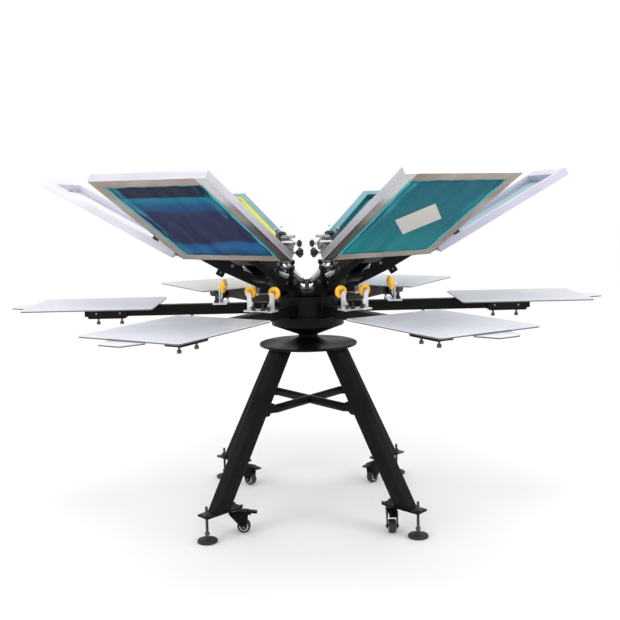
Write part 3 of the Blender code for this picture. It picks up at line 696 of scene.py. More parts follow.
BLACK = powder_coat("black_powder_coat", (0.0030, 0.0031, 0.0036), 0.42)
LEG_BLACK = powder_coat("leg_powder_coat", (0.0042, 0.0046, 0.0066), 0.38)
BRACKET_BLACK = powder_coat("bracket_coat", (0.012, 0.009, 0.008), 0.45)
ALUMINIUM = {
    1: frame_aluminium("frame_aluminium_1", (0.46, 0.46, 0.56), (0.58, 0.58, 0.70)),
    2: frame_aluminium(
        "frame_aluminium_2", (0.10, 0.24, 0.28), (0.15, 0.37, 0.42), stain=(0.02, 0.12, 0.15)),
    3: frame_aluminium(
        "frame_aluminium_3", (0.17, 0.30, 0.33), (0.21, 0.35, 0.38), stain=(0.80, 0.80, 0.16)),
    4: frame_aluminium("frame_aluminium_4", (0.58, 0.57, 0.64), (0.72, 0.72, 0.80)),
    # the 1 of screen 5 and the -1 of screen 6 pick the side with the painted clamp shadow
    5: frame_aluminium("frame_aluminium_5", (0.34, 0.33, 0.34), (0.62, 0.61, 0.67), 1),
    # the last colour of screen 6 is a painted highlight on its outer end face
    6: frame_aluminium(
        "frame_aluminium_6", (0.34, 0.33, 0.34), (0.50, 0.49, 0.52), -1, (0.90, 0.90, 0.92)),
}
ZINC = brushed_metal("zinc_plate", (0.66, 0.64, 0.67), 0.34, tint=(0.52, 0.50, 0.56))
STEEL = brushed_metal("bright_steel", (0.60, 0.60, 0.62), 0.22)
CHROME = brushed_metal("chrome_wire", (0.78, 0.78, 0.80), 0.12, scale=200.0)
CASTING = brushed_metal("grey_casting", (0.30, 0.30, 0.32), 0.42)
BOLT = brushed_metal("dark_bolt", (0.13, 0.13, 0.135), 0.38)
LAMINATE = laminate()
TAB_WHITE = plastic("tab_white", (0.80, 0.80, 0.82), 0.4)
EDGE = board_edge()
NYLON = nylon()
PAD = rubber("foot_rubber", (0.010, 0.010, 0.011))
TREAD = rubber("caster_tread", (0.012, 0.012, 0.013))
KNOB = plastic("knob_plastic", (0.008, 0.008, 0.009), 0.35)
SLEEVE = plastic("lift_sleeve", (0.42, 0.42, 0.43), 0.35)
RING = plastic("caster_ring", (0.62, 0.62, 0.64), 0.35)

CYAN_FRINGE = (0.045, 0.36, 0.42)
FABRICS = {
    1: screen_fabric(
        "fabric_1", (0.36, 0.48, 0.52), ((0.0, (0.24, 0.34, 0.38)), (0.6, (0.30, 0.42, 0.46))),
        (0.18, 0.28, 0.32)),
    2: screen_fabric(
        "fabric_2", (0.10, 0.34, 0.38), ((0.0, (0.045, 0.25, 0.29)), (0.6, (0.11, 0.36, 0.40))),
        (0.010, 0.10, 0.12), width=0.062),
    3: screen_fabric(
        "fabric_3", (0.11, 0.30, 0.34), ((0.0, (0.66, 0.64, 0.13)), (0.6, (0.70, 0.72, 0.12))),
        (0.58, 0.60, 0.10), width=0.032),
    4: screen_fabric(
        "fabric_4", (0.60, 0.62, 0.70), ((0.0, (0.62, 0.66, 0.76)), (0.6, (0.72, 0.70, 0.78))),
        (0.52, 0.34, 0.42)),
    5: screen_fabric(
        "fabric_5", CYAN_FRINGE, (
            (0.045, (0.004, 0.050, 0.100)), (0.062, (0.004, 0.070, 0.180)),
            (0.10, (0.003, 0.110, 0.300)), (0.13, (0.004, 0.095, 0.260)),
            (0.165, (0.009, 0.016, 0.062)), (0.36, (0.011, 0.016, 0.070)),
            (0.41, (0.003, 0.060, 0.170)), (0.475, (0.003, 0.150, 0.245)),
            (0.487, (0.006, 0.011, 0.032)), (0.556, (0.007, 0.013, 0.036))),
        (0.003, 0.016, 0.062)),
    6: screen_fabric(
        "fabric_6", CYAN_FRINGE, (
            (0.06, (0.004, 0.205, 0.235)), (0.30, (0.003, 0.130, 0.165)),
            (0.55, (0.003, 0.105, 0.150))),
        (0.003, 0.085, 0.122), patch=(0.56, 0.54, 0.50)),
}


# -------------------------------------------------------------------------- stand
BORE_R = 0.0185     # bore of every piece on the spindle


def build_pedestal():
    low, high = station_box("pedestal_column")
    edge_r = high.x
    neck_r = 0.047
    base_r = 0.050
    disc_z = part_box("leg_front_left")[1].z - PLATEN_TOP + 0.0093
    flare = []
    for step in range(33):
        share = (step / 32) ** 1.8
        radius = neck_r + (edge_r - 0.002 - neck_r) * share
        flare.append((radius, disc_z + (high.z - disc_z) * (1 - share) ** 4.5))
    profile = [(BORE_R, high.z), (neck_r - 0.001, high.z)] + flare[1:] + [
        (edge_r - 0.0006, disc_z - 0.0006), (edge_r, disc_z - 0.002), (edge_r, disc_z - 0.007),
        (edge_r - 0.0006, disc_z - 0.0084), (edge_r - 0.002, disc_z - 0.009),
        (base_r, disc_z - 0.009), (base_r, low.z), (BORE_R, low.z),
    ]
    mesh = joined([(lathe(profile, 128), BLACK)])
    show("pedestal_trumpet", mesh, LIFT, "stand", ["pedestal_column"])


def build_spindle():
    for node, groove in (("lower_bearing", True), ("upper_bearing", False)):
        low, high = station_box(node)
        middle = (low.z + high.z) / 2
        outline = [(0.0186, high.z), (high.x, high.z)]
        if groove:
            outline += [(high.x, middle + 0.001), (high.x - 0.002, middle), (high.x, middle - 0.001)]
        outline += [(high.x, low.z), (0.0186, low.z)]
        mesh = joined([(turned(outline, 96, 0.0008), BLACK if groove else STEEL)])
        show(node + "_ring", mesh, LIFT, "stand", [node])
    low, high = station_box("spindle")
    shaft = turned([(0.0, high.z), (high.x, high.z), (high.x, low.z), (0.0, low.z)], 64)
    show("spindle_shaft", joined([(shaft, STEEL)]), LIFT, "stand", ["spindle"])


def leg_turn(corner):
    x, y, _ = JOINTS["caster_swivel_" + corner]["pos_m"]
    return turn_towards(x, y)


CASTER_R = Vector(JOINTS["caster_swivel_front_left"]["pos_m"][:2]).length
FOOT_LOW, FOOT_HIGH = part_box("levelling_foot_front_left")
FOOT_R = ((FOOT_LOW + FOOT_HIGH) / 2).xy.length
LEG_TOP_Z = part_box("leg_front_left")[1].z
LEG_SIDE = 0.0625
PLATE_TOP_Z = 0.112
PLATE_T = 0.006
LEG_TOP_R = 0.161
LEG_BOTTOM_R = 0.536
BRACE_R = 0.0185
LEG_RUN = (LEG_TOP_R - LEG_BOTTOM_R) / (LEG_TOP_Z - PLATE_TOP_Z)
LEG_DEPTH = LEG_SIDE * math.hypot(1.0, LEG_RUN)     # level section of a leaning leg
LEAN = Matrix.Identity(4)
LEAN[0][2] = LEG_RUN


def leg_r(height):
    """Distance of a leg's centre line from the vertical axis."""
    return LEG_BOTTOM_R + LEG_RUN * (height - PLATE_TOP_Z)


def build_legs():
    depth = LEG_DEPTH / 2
    half = LEG_SIDE / 2
    section = rounded_rectangle((-depth, -half), (depth, half), 0.006)
    tube = plate([section], PLATE_TOP_Z, LEG_TOP_Z, 0.0004, "XY")
    tube.transform(Matrix.Translation((leg_r(0.0), 0.0, 0.0)) @ LEAN)
    bead_path = rounded_rectangle(
        (-depth - 0.001, -half - 0.001), (depth + 0.001, half + 0.001), 0.007)
    beads = []
    for height in (PLATE_TOP_Z + 0.0015, LEG_TOP_Z - 0.0025):
        path = [(x + leg_r(height), y, height) for x, y in bead_path + bead_path[:1]]
        beads.append(sweep(path, 0.0024, 8))
    foot_plate = plate(
        [rounded_rectangle((0.432, -0.034), (0.624, 0.034), 0.009)],
        PLATE_TOP_Z - PLATE_T, PLATE_TOP_Z, 0.0008, "XY")
    nuts = [
        screw_with_washer((FOOT_R, 0.0, PLATE_TOP_Z), (0, 0, 1), 0.019, 0.010),
        screw_with_washer((FOOT_R, 0.0, PLATE_TOP_Z - PLATE_T), (0, 0, -1), 0.019, 0.008, 0.3),
    ]
    x = CASTER_R - 0.026
    for y in (-0.023, 0.023):
        nuts.append(hexagon((x, y, PLATE_TOP_Z), (0, 0, 1), 0.010, 0.005, x + y))
    mesh = joined(in_material(LEG_BLACK, tube, foot_plate, beads) + in_material(BOLT, *nuts))
    for corner in CORNERS:
        show("leg_tube_" + corner, mesh, leg_turn(corner), "stand", ["leg_" + corner])


def build_brace():
    low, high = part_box("cross_brace")
    height = (low.z + high.z) / 2
    reach_r = leg_r(height) - LEG_DEPTH / 2
    reach = (reach_r - BRACE_R) * math.sqrt(0.5)
    parts = []
    steps = 6
    for side in (1, -1):
        bends = ((-1.0, -1.0), (-0.78, -0.93), (0.0, 0.0), (0.78, 0.93), (1.0, 1.0))
        corners = [Vector((x * reach, y * reach * side, height)) for x, y in bends]
        path = []
        for first, last in zip(corners, corners[1:]):
            path += [first.lerp(last, step / steps) for step in range(steps)]
        parts.append((sweep(path + corners[-1:], BRACE_R, 32), LEG_BLACK))
    for corner in CORNERS:
        place = leg_turn(corner) @ Matrix.Translation((reach_r - 0.0003, 0.0, height))
        socket = block((-0.026, -0.025, -0.025), (0.0, 0.025, 0.025), 0.003, 3)
        socket.transform(place @ LEAN)
        parts.append((socket, LEG_BLACK))
        for side in (-1, 1):
            z = side * 0.016
            bolt = hexagon((-0.0265 + LEG_RUN * z, side * 0.018, z), (-1, 0, 0), 0.009, 0.005)
            bolt.transform(place)
            parts.append((bolt, BOLT))
    show("cross_brace_tubes", joined(parts), Matrix.Identity(4), "stand",
         ["cross_brace"])


def build_feet():
    top = FOOT_HIGH.z
    pad_r = 0.041
    pad = turned([
        (0.0, 0.019), (0.0135, 0.019), (0.0155, 0.0145), (pad_r - 0.003, 0.0115), (pad_r, 0.0085),
        (pad_r, 0.002), (pad_r - 0.002, 0.0), (0.0, 0.0)], 72, 0.0012)
    thread = [(0.0, top), (0.0052, top)]
    pitch = 0.00175
    z = top - 0.0008
    while z > 0.020:
        thread += [(0.0060, z), (0.0052, z - pitch / 2)]
        z -= pitch
    thread.append((0.0, 0.017))
    bolt = lathe(thread, 24)
    nut = hexagon((0, 0, 0.030), (0, 0, 1), 0.019, 0.010)
    mesh = joined([(pad, PAD), (bolt, BOLT), (nut, BOLT)])
    for corner in CORNERS:
        place = leg_turn(corner) @ Matrix.Translation((FOOT_R, 0.0, 0.0))
        show("foot_%s_pad" % corner, mesh, place, "foot_" + corner,
             ["levelling_foot_" + corner])


def caster_matrix(corner):
    """Caster frame: X from the swivel axis towards the wheel, Z the height above the floor."""
    swivel = Vector(JOINTS["caster_swivel_" + corner]["pos_m"])
    wheel = Vector(JOINTS["caster_roll_" + corner]["pos_m"])
    away = wheel - swivel
    return Matrix.Translation((swivel.x, swivel.y, 0.0)) @ turn_towards(away.x, away.y)


def build_casters():
    swivel = Vector(JOINTS["caster_swivel_front_left"]["pos_m"])
    wheel_at = Vector(JOINTS["caster_roll_front_left"]["pos_m"])
    trail = (wheel_at - swivel).xy.length
    axle_z = wheel_at.z
    top = PLATE_TOP_Z - PLATE_T - 0.0003
    race = turned([
        (0.0, top), (0.0215, top), (0.0225, top - 0.004), (0.0195, top - 0.006), (0.0225, top - 0.008),
        (0.0215, top - 0.013), (0.0, top - 0.013)], 48, 0.0008)
    deck_outline = rounded_rectangle((-0.018, -0.0225), (0.055, 0.0225), 0.008)
    deck = plate([deck_outline], top - 0.020, top - 0.012, 0.0015, "XY")
    eye = [(trail - 0.014, axle_z + 0.003)] + arc(trail, axle_z, 0.0125, math.pi, math.pi, 12)
    side_view = [(-0.018, top - 0.022)] + eye + [
        (trail + 0.018, top - 0.034), (0.063, top - 0.026), (0.063, top - 0.013),
        (-0.018, top - 0.013)]
    cheeks = [side_plate(side_view, side, 0.0185, 0.0225) for side in (-1, 1)]
    axle = rod((trail, -0.0262, axle_z), (trail, 0.0262, axle_z), 0.0038)
    nuts = [
        hexagon((trail, side * 0.0225, axle_z), (0, side, 0), 0.012, 0.0045) for side in (1, -1)]
    lip = plate([[
        (0.050, top - 0.0195), (0.074, top - 0.0215), (0.098, top - 0.0235), (0.0985, top - 0.0180),
        (0.078, top - 0.0150), (0.050, top - 0.0125)]], -0.016, 0.016, 0.0014)
    spur = plate([[
        (0.058, top - 0.020), (0.074, top - 0.020), (0.072, top - 0.032),
        (0.064, top - 0.030)]], -0.010, 0.010, 0.0014)
    fork = joined(in_material(BLACK, deck, cheeks, lip, spur) + in_material(BOLT, race, axle, nuts))
    half = 0.015
    rim = 0.0275
    ring_low = 0.0120
    ring_high = 0.0185
    tyre = turned(both_faces([
        (ring_high, half), (rim - 0.003, half), (rim, half - 0.004)]), 72, 0.002, 4)
    ring = turned(both_faces([
        (ring_low, half - 0.0015), (ring_high, half - 0.0005)]), 64, 0.0008)
    core = turned(both_faces([
        (0.0046, half), (0.0080, half), (ring_low, half - 0.004)]), 48)
    parts = [(tyre, TREAD), (ring, RING), (core, CASTING)]
    for mesh, _ in parts:
        mesh.transform(Matrix.Rotation(math.pi / 2, 4, "X"))
    wheel = joined(parts)
    for corner in CORNERS:
        place = caster_matrix(corner)
        show("caster_%s_fork" % corner, fork, place, "fork_" + corner,
             ["caster_fork_" + corner])
        at_axle = place @ Matrix.Translation((trail, 0.0, axle_z))
        show("caster_%s_wheel" % corner, wheel, at_axle, "wheel_" + corner,
             ["caster_wheel_" + corner])


# ----------------------------------------------------------------- lower carousel
PLATEN_INNER_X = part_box("platen_1")[0].x
PLATEN_LENGTH = 0.550
ARM_LOW_Z = -0.0555
ARM_TOP_Z = -0.0095
ARM_HALF = 0.023
ARM_WALL = 0.003
BRACKET_LOW_Z = -0.0635
BRACKET_HALF = 0.0355
GATE_ROLLER_Y = 0.056
GATE_ROLLER_Z = 0.065


def build_hub():
    _, high = station_box("platen_hub")
    drum = turned([
        (BORE_R, 0.022), (0.135, 0.022), (0.135, -0.065), (0.158, -0.065), (0.158, -0.108),
        (0.050, -0.150), (BORE_R, -0.150)], 128, 0.003, 4)
    parts = [(drum, BLACK)]
    outer = rounded_rectangle((-ARM_HALF, ARM_LOW_Z), (ARM_HALF, ARM_TOP_Z), 0.004, 4)
    inner = rounded_rectangle(
        (-ARM_HALF + ARM_WALL, ARM_LOW_Z + ARM_WALL), (ARM_HALF - ARM_WALL, ARM_TOP_Z - ARM_WALL),
        0.002, 4)
    for number in STATIONS:
        turn = station_turn(number)
        tube = plate([outer, inner], 0.130, high.x, 0.0004, "YZ")
        weld = sweep([(0.1585, y, z) for y, z in outer + outer[:1]], 0.0026, 8)
        stud = hexagon((0.505, 0.0, ARM_LOW_Z), (0, 0, -1), 0.013, 0.007)
        for mesh, material in ((tube, BLACK), (weld, BLACK), (stud, CASTING)):
            mesh.transform(turn)
            parts.append((mesh, material))
    show("hub_and_arms", joined(parts), LIFT, "platen_carousel", ["platen_hub"])


def build_platens():
    low, high = station_box("platen_1")
    outer_x = PLATEN_INNER_X + PLATEN_LENGTH
    outline = rounded_rectangle((PLATEN_INNER_X, low.y), (outer_x, high.y), 0.012, 8)
    sheet = plate([outline], -0.0030, 0.0, 0.0006, "XY")
    inset = rounded_rectangle(
        (PLATEN_INNER_X + 0.003, low.y + 0.003), (outer_x - 0.003, high.y - 0.003), 0.010, 8)
    core = plate([inset], -0.008, -0.0030, 0.0005, "XY")
    tab_outline = [
        (outer_x - 0.030, -0.080), (outer_x, -0.080), (high.x - 0.006, -0.047), (high.x, -0.041),
        (high.x, 0.041), (high.x - 0.006, 0.047), (outer_x, 0.080), (outer_x - 0.030, 0.080),
    ]
    tab_top = -0.0082
    # the dark rod under the tab's outer edge is painted shade: it stands for the tab's shadowed side
    tab = joined([
        (plate([tab_outline], tab_top - 0.0014, tab_top, 0.0004, "XY"), TAB_WHITE),
        (sweep([(x, y, tab_top - 0.0020) for x, y in tab_outline[1:7]], 0.0022, 8), BOLT)])
    bracket_side = [
        (0.781, -0.008), (0.781, -0.050), (0.789, BRACKET_LOW_Z), (0.947, BRACKET_LOW_Z),
        (0.955, -0.050), (0.955, -0.008)]
    cheeks = [side_plate(bracket_side, side, 0.0236, BRACKET_HALF, 0.0012) for side in (1, -1)]
    floor_plate = block(
        (0.789, -BRACKET_HALF, BRACKET_LOW_Z), (0.947, BRACKET_HALF, -0.0567), 0.001)
    bolts = []
    screws = []
    for x in (0.811, 0.913):
        bolts += [
            rod((x, 0, -0.0800), (x, 0, BRACKET_LOW_Z), 0.0045, 20),
            hexagon((x, 0, -0.0915), (0, 0, 1), 0.015, 0.0125),
            rod((x, 0, -0.0652), (x, 0, BRACKET_LOW_Z), 0.0090, 28, 0.0004)]
        for side in (1, -1):
            screws.append(rod(
                (x, side * BRACKET_HALF, -0.040), (x, side * 0.0378, -0.040), 0.0045, 24, 0.0010))
    mesh = joined(
        [(sheet, LAMINATE), (core, EDGE)] + in_material(CASTING, screws) + in_material(BOLT, bolts)
        + in_material(BRACKET_BLACK, *cheeks, floor_plate))
    for number in STATIONS:
        body = "platen_%d" % number
        show("platen_board_%d" % number, mesh, station_matrix(number), body, [body])
        show("platen_tab_%d" % number, tab, station_matrix(number), body)


def build_gates():
    low, high = station_box("registration_gate_1")
    base_low = low.z
    base_high = base_low + 0.006
    base_outline = rounded_rectangle((0.345, -0.064), (0.408, 0.064), 0.003)
    parts = in_material(ZINC, plate([base_outline], base_low, base_high, 0.0006, "XY"))
    for side in (-1, 1):
        tip_start = 0.0 if side > 0 else math.pi
        outline = [
            (side * 0.032, base_low), (side * 0.064, base_low),
            *arc(side * 0.0545, high.z - 0.010, 0.010, tip_start, math.pi * side, 10),
            (side * 0.0425, 0.030), (side * 0.032, 0.016)]
        y = side * GATE_ROLLER_Y
        z = GATE_ROLLER_Z
        bolt_y = side * 0.022
        rod_y = side * 0.037
        parts += in_material(
            ZINC, plate([outline], 0.3735, 0.3785, 0.0007, "YZ"),
            rod((0.3500, y, z), (0.3805, y, z), 0.0048, 20),
            hexagon((0.3785, y, z), (1, 0, 0), 0.011, 0.006))
        parts += in_material(CHROME, rod((0.3495, y, z), (0.3525, y, z), 0.0085, 24, 0.0008))
        parts += in_material(
            KNOB, screw_with_washer((0.396, bolt_y, base_high), (0, 0, 1), 0.0135, 0.009),
            rod((0.396, bolt_y, base_high), (0.396, bolt_y, 0.0225), 0.0042, 20),
            rod((0.366, rod_y, 0.006), (0.392, rod_y, 0.006), 0.0045, 16),
            hexagon((0.3785, rod_y, 0.006), (1, 0, 0), 0.010, 0.006))
    mesh = joined(parts)
    for number in STATIONS:
        show("gate_bracket_%d" % number, mesh, station_matrix(number), "platen_carousel",
             ["registration_gate_%d" % number])


def build_rollers():
    low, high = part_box("roller_1_left")
    half = (high.x - low.x) / 2
    radius = (high.z - low.z) / 2
    wheel = turned(both_faces([
        (0.0056, half - 0.003), (0.0105, half - 0.003), (0.0115, half), (radius - 0.004, half),
        (radius, half - 0.004)]), 72, 0.0012)
    wheel.transform(Matrix.Rotation(math.pi / 2, 4, "Y"))
    mesh = joined([(wheel, NYLON)])
    for number in STATIONS:
        for label in ("right", "left"):
            node = "roller_%d_%s" % (number, label)
            centre = Vector(JOINTS["roller_spin_%d_%s" % (number, label)]["pos_m"])
            place = Matrix.Translation(centre) @ station_turn(number)
            show(node + "_nylon", mesh, place, node, [node])


# ---------------------------------------------------------------------- head turret
YOKE_HALF = 0.0395


def build_turret():
    disc = turned([
        (BORE_R, 0.042), (0.125, 0.042), (0.125, 0.028), (BORE_R, 0.028)], 96, 0.002)
    parts = [(disc, BLACK)]
    yoke = [
        (0.095, 0.032), (0.205, 0.032), (0.205, 0.052),
        *arc(HINGE_R, HINGE_Z, 0.022, 0.05, math.pi - 0.2, 12), (0.118, 0.048), (0.095, 0.040)]
    hook = [(0.100, 0.0, 0.046)]
    for step in range(1, 10):
        angle = math.pi * step / 12
        hook.append((0.100 + 0.030 * math.sin(angle), 0.0, 0.072 - 0.026 * math.cos(angle)))
    for number in STATIONS:
        turn = station_turn(number)
        local = []
        for side in (1, -1):
            local.append((side_plate(yoke, side, 0.0315, YOKE_HALF, 0.001), BLACK))
            hinge_end = (HINGE_R, side * YOKE_HALF, HINGE_Z)
            local += in_material(
                BOLT, screw_with_washer(hinge_end, (0, side, 0), 0.017, 0.005),
                hexagon((0.112, side * 0.020, 0.042), (0, 0, 1), 0.011, 0.006),
                hexagon((0.070, side * 0.012, 0.042), (0, 0, 1), 0.009, 0.005))
        pin = rod((HINGE_R, -YOKE_HALF, HINGE_Z), (HINGE_R, YOKE_HALF, HINGE_Z), 0.008)
        local += [(pin, STEEL), (sweep(hook, 0.0035, 12), CASTING)]
        for mesh, _ in local:
            mesh.transform(turn)
        parts += local
    show("turret_disc", joined(parts), LIFT, "head_turret", ["head_turret"])


def build_spring_post():
    low, high = station_box("spring_post")
    post = turned([
        (0.0, high.z), (0.008, high.z), (0.009, 0.076), (0.022, 0.076), (0.022, 0.068), (0.009, 0.068),
        (0.009, low.z + 0.006), (0.030, low.z + 0.006), (0.030, low.z), (0.0, low.z)], 64, 0.0012)
    parts = [(post, BOLT), (hexagon((0, 0, high.z - 0.006), (0, 0, 1), 0.017, 0.008), KNOB)]
    for number in STATIONS:
        turn = station_turn(number)
        ends = [turn @ Vector((0.018, 0.0, 0.072)), turn @ Vector((0.034, 0.0, 0.078))]
        parts.append((rod(*ends, 0.005, 16), KNOB))
    show("spring_post_column", joined(parts), LIFT, "head_turret", ["spring_post"])


# pin of the lift rod on a lowered head
LUG = Vector((0.205, 0.0, 0.139))
POST_EYE = Vector((0.030, 0.0, 0.0765))


def build_lift_rods():
    """Smooth grey sleeves with a thin cable beside them, from the post to each head."""
    for number in STATIONS:
        pin = raised_matrix(number) @ LUG
        toward = (pin - POST_EYE).normalized()
        matrix = station_matrix(number)
        sleeve_path = []
        cable_path = []
        for step in range(17):
            share = step / 16
            along = POST_EYE + toward * 0.006 + (pin - POST_EYE - toward * 0.016) * share
            sleeve_path.append(along)
            cable_path.append(along + Vector((0.0, 0.012, -0.004 * math.sin(math.pi * share))))
        mesh = joined(in_material(SLEEVE, sweep(sleeve_path, 0.0068, 24)) + in_material(
            KNOB, sweep(cable_path, 0.0016, 10),
            rod(POST_EYE + toward * 0.002, POST_EYE + toward * 0.014, 0.0086, 24),
            rod(pin - toward * 0.020, pin - toward * 0.010, 0.0084, 24)))
        obj = linked("lift_rod_%d" % number, mesh)
        obj.matrix_world = matrix
        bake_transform(obj)


# ------------------------------------------------------------------------ print head
# side view of a side plate with the head lowered, from the heel out to the clamp
SIDE_PLATE = [
    (0.144, 0.094), (0.145, 0.077), (0.177, 0.042), (0.193, 0.040), (0.345, 0.0275), (0.470, 0.026),
    (0.512, 0.012), (0.530, 0.012), (0.530, 0.055), (0.470, 0.085), (0.400, 0.100), (0.296, 0.100),
    (0.284, 0.070), (0.224, 0.080), (0.206, 0.100), (0.219, 0.142), (0.202, 0.152), (0.176, 0.119),
    (0.159, 0.115),
]
PLATE_OUTER_Y = 0.0305
WEB_HALF = 0.0258
BLOCK_HALF = 0.0303
SPACER_PLACES = ((0.440, 0.060), (0.330, 0.070), (0.218, 0.062))


def build_heads():
    outline = rounded_profile(SIDE_PLATE, 0.006, 4)
    parts = []
    for side in (1, -1):
        parts.append((side_plate(outline, side, 0.0255, PLATE_OUTER_Y, 0.0009), BLACK))
        for (x, z), width in zip((*SPACER_PLACES, (0.500, 0.034)), (0.013, 0.013, 0.012, 0.011)):
            head = hexagon((x, side * PLATE_OUTER_Y, z), (0, side, 0), width, 0.005, x * 9)
            parts.append((head, BOLT))
        pin_end = LUG + Vector((0.0, side * PLATE_OUTER_Y, 0.0))
        parts += in_material(
            BOLT, hexagon((0.362, side * BLOCK_HALF, 0.020), (0, side, 0), 0.008, 0.002),
            rod(LUG, LUG + Vector((0.0, side * 0.030, 0.0)), 0.005))
        parts += in_material(
            KNOB, rod(pin_end, pin_end + Vector((0.0, side * 0.008, 0.0)), 0.0115, 28, 0.002))
    for x, z in SPACER_PLACES:
        parts.append((rod((x, -0.026, z), (x, 0.026, z), 0.009), BOLT))
    registration_block = block(
        (0.345, -BLOCK_HALF, 0.003), (0.379, BLOCK_HALF, 0.040), 0.0018, 3)
    deck = plate([rounded_profile([
        (0.302, 0.0995), (0.400, 0.0995), (0.470, 0.0845), (0.528, 0.0550), (0.526, 0.0510),
        (0.468, 0.0800), (0.400, 0.0950), (0.302, 0.0950)], 0.003)], -WEB_HALF, WEB_HALF)
    belly = plate([rounded_profile([
        (0.200, 0.0400), (0.344, 0.0282), (0.344, 0.0322), (0.200, 0.0440)], 0.002, 2)],
        -WEB_HALF, WEB_HALF, 0.0006)
    parts += in_material(BLACK, registration_block, deck, belly)
    spring_start = Vector((0.222, 0.0, 0.0865))
    spring_end = Vector((0.286, 0.0, 0.0845))
    for side in (1, -1):
        offset = Vector((0.0, side * 0.0125, 0.0))
        first = spring_start + offset
        last = spring_end + offset
        line = coil(first, last, 0.0098, 0.0014, 12, 18)
        guide = rod(first - Vector((0.012, 0, 0)), last + Vector((0.016, 0, 0)), 0.0032)
        parts += [(sweep(line, 0.0014, 8), CASTING), (guide, STEEL)]
    mesh = joined(parts + clamp_parts())
    for number in STATIONS:
        place = station_matrix(number) @ raised_matrix(number)
        show("head_lever_%d" % number, mesh, place, "print_head_%d" % number,
             ["head_arm_%d" % number])


def clamp_parts():
    """Beam and jaw that hold the screen's inner rim, with their screws and knobs."""
    half = 0.205
    top = SCREEN_T + 0.0063
    local = in_material(
        BLACK,
        block((-0.028, -half, 0.012), (-0.0006, half, SCREEN_T), 0.002, 3),
        block((-0.045, -0.042, 0.009), (-0.0006, 0.042, SCREEN_T), 0.002, 3),
        block((-0.045, -half, SCREEN_T + 0.0003), (0.030, half, top), 0.0015, 2),
        block((-0.070, -0.040, 0.012), (-0.040, 0.040, top - 0.002), 0.003, 3))
    for side in (1, -1):
        for y in (0.060, 0.140):
            local += in_material(
                ZINC, screw_with_washer((-0.022, side * y, top), (0, 0, 1), 0.015, 0.008))
        local += in_material(
            CASTING, side_block(side, (-0.038, 0.178, top), (0.030, 0.222, 0.066), 0.004),
            side_block(side, (-0.012, 0.165, 0.060), (0.012, 0.205, 0.080), 0.004))
        stem_end = (-0.030, side * 0.240, 0.052)
        lever = []
        for step in range(6):
            lever.append((0.098 + 0.010 * step, side * (0.222 + 0.0035 * step),
                          0.052 + 0.016 * math.sin(step * 0.6)))
        local += in_material(
            STEEL, rod((-0.030, side * 0.215, 0.052), stem_end, 0.006, 20),
            rod((0.036, side * 0.200, 0.057), (0.036, side * 0.262, 0.057), 0.0085, 28),
            sweep(lever, 0.0036, 14))
        local += in_material(
            KNOB, star_knob(stem_end, (0, side, 0), 0.0185, 0.022),
            side_block(side, (0.084, 0.200, SCREEN_T + 0.0006), (0.110, 0.242, 0.050), 0.003),
            side_block(side, (0.026, 0.212, 0.036), (0.100, 0.226, 0.046), 0.003))
    for mesh, _ in local:
        mesh.transform(SCREEN_FRAME)
    return local


def build_screens():
    half = SCREEN_W / 2
    outer = rounded_rectangle((0.0, -half), (SCREEN_L, half), 0.004, 4)
    inner = rounded_rectangle(
        (SCREEN_RIM, -half + SCREEN_RIM), (SCREEN_L - SCREEN_RIM, half - SCREEN_RIM), 0.003, 3)
    rim = plate([outer, inner], 0.0, SCREEN_T, 0.0014, "XY")
    margin = SCREEN_RIM - 0.002
    sheet = block(
        (margin, -half + margin, -0.0006), (SCREEN_L - margin, half - margin, -0.0001), 0.0)
    for number in STATIONS:
        rim_mesh = joined([(rim, ALUMINIUM[number])])
        sheet_mesh = joined([(sheet, FABRICS[number])])
        body = "print_head_%d" % number
        place = station_matrix(number) @ raised_matrix(number) @ SCREEN_FRAME
        show("screen_frame_%d" % number, rim_mesh, place, body,
             ["screen_%d" % number])
        show("screen_fabric_%d" % number, sheet_mesh, place, body)


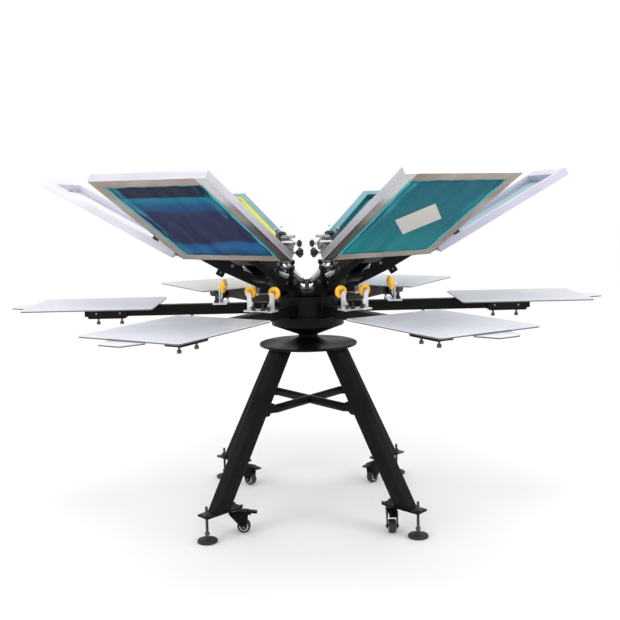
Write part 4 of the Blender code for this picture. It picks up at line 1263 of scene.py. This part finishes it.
# ------------------------------------------------------------------ floor and light
CAMERA_LENS = 52.83
CAMERA_PLACE = Vector((-0.0157, -3.942, PLATEN_TOP + 0.454))
CAMERA_PITCH = math.radians(7.27)
CAMERA_YAW = math.radians(0.38)
CAMERA_ROLL = math.radians(1.23)


def add_camera():
    camera = linked("camera", bpy.data.cameras.new("camera"))
    camera.data.lens = CAMERA_LENS
    camera.data.sensor_width = 36.0
    turn = Matrix.Rotation(-CAMERA_YAW, 4, "Z") @ Matrix.Rotation(math.pi / 2 - CAMERA_PITCH, 4, "X")
    roll = Matrix.Rotation(-CAMERA_ROLL, 4, "Z")
    camera.matrix_world = Matrix.Translation(CAMERA_PLACE) @ turn @ roll
    bpy.context.scene.camera = camera


def add_light(name, place, target, size, power):
    light = bpy.data.lights.new(name, "AREA")
    light.shape = "RECTANGLE"
    light.size, light.size_y = size
    light.energy = power
    place = Vector(place)
    linked(name, light).matrix_world = Matrix.Translation(place) @ aimed(Vector(target) - place, "-Z")


def add_stage():
    bm = bmesh.new()
    bmesh.ops.create_grid(bm, x_segments=2, y_segments=2, size=30.0)
    floor = linked("floor", mesh_from(bm))
    shader = Shader("floor_paint", roughness=0.9)
    shader.put("Base Color", shader.mix(shader.noise(0.8), (0.94, 0.94, 0.94), (0.96, 0.96, 0.96)))
    floor.data.materials.append(shader.material)
    world = bpy.data.worlds.new("studio")
    bpy.context.scene.world = world
    world.use_nodes = True
    sky = world.node_tree.nodes["Background"]
    sky.inputs["Color"].default_value = (1.0, 1.0, 1.0, 1.0)
    sky.inputs["Strength"].default_value = 1.06
    target = (0.0, 0.0, 0.9)
    add_light("softbox_top", (0.0, -0.6, 4.2), target, (3.6, 2.4), 55.0)
    add_light("softbox_left", (-3.2, -3.0, 2.6), target, (1.8, 2.2), 30.0)
    add_light("softbox_right", (3.4, -2.4, 2.2), target, (1.6, 2.2), 20.0)
    bpy.context.scene.view_settings.view_transform = "Standard"


build_pedestal()
build_spindle()
build_legs()
build_brace()
build_feet()
build_casters()
build_hub()
build_platens()
build_gates()
build_rollers()
build_turret()
build_spring_post()
build_lift_rods()
build_heads()
build_screens()
add_stage()
add_camera()
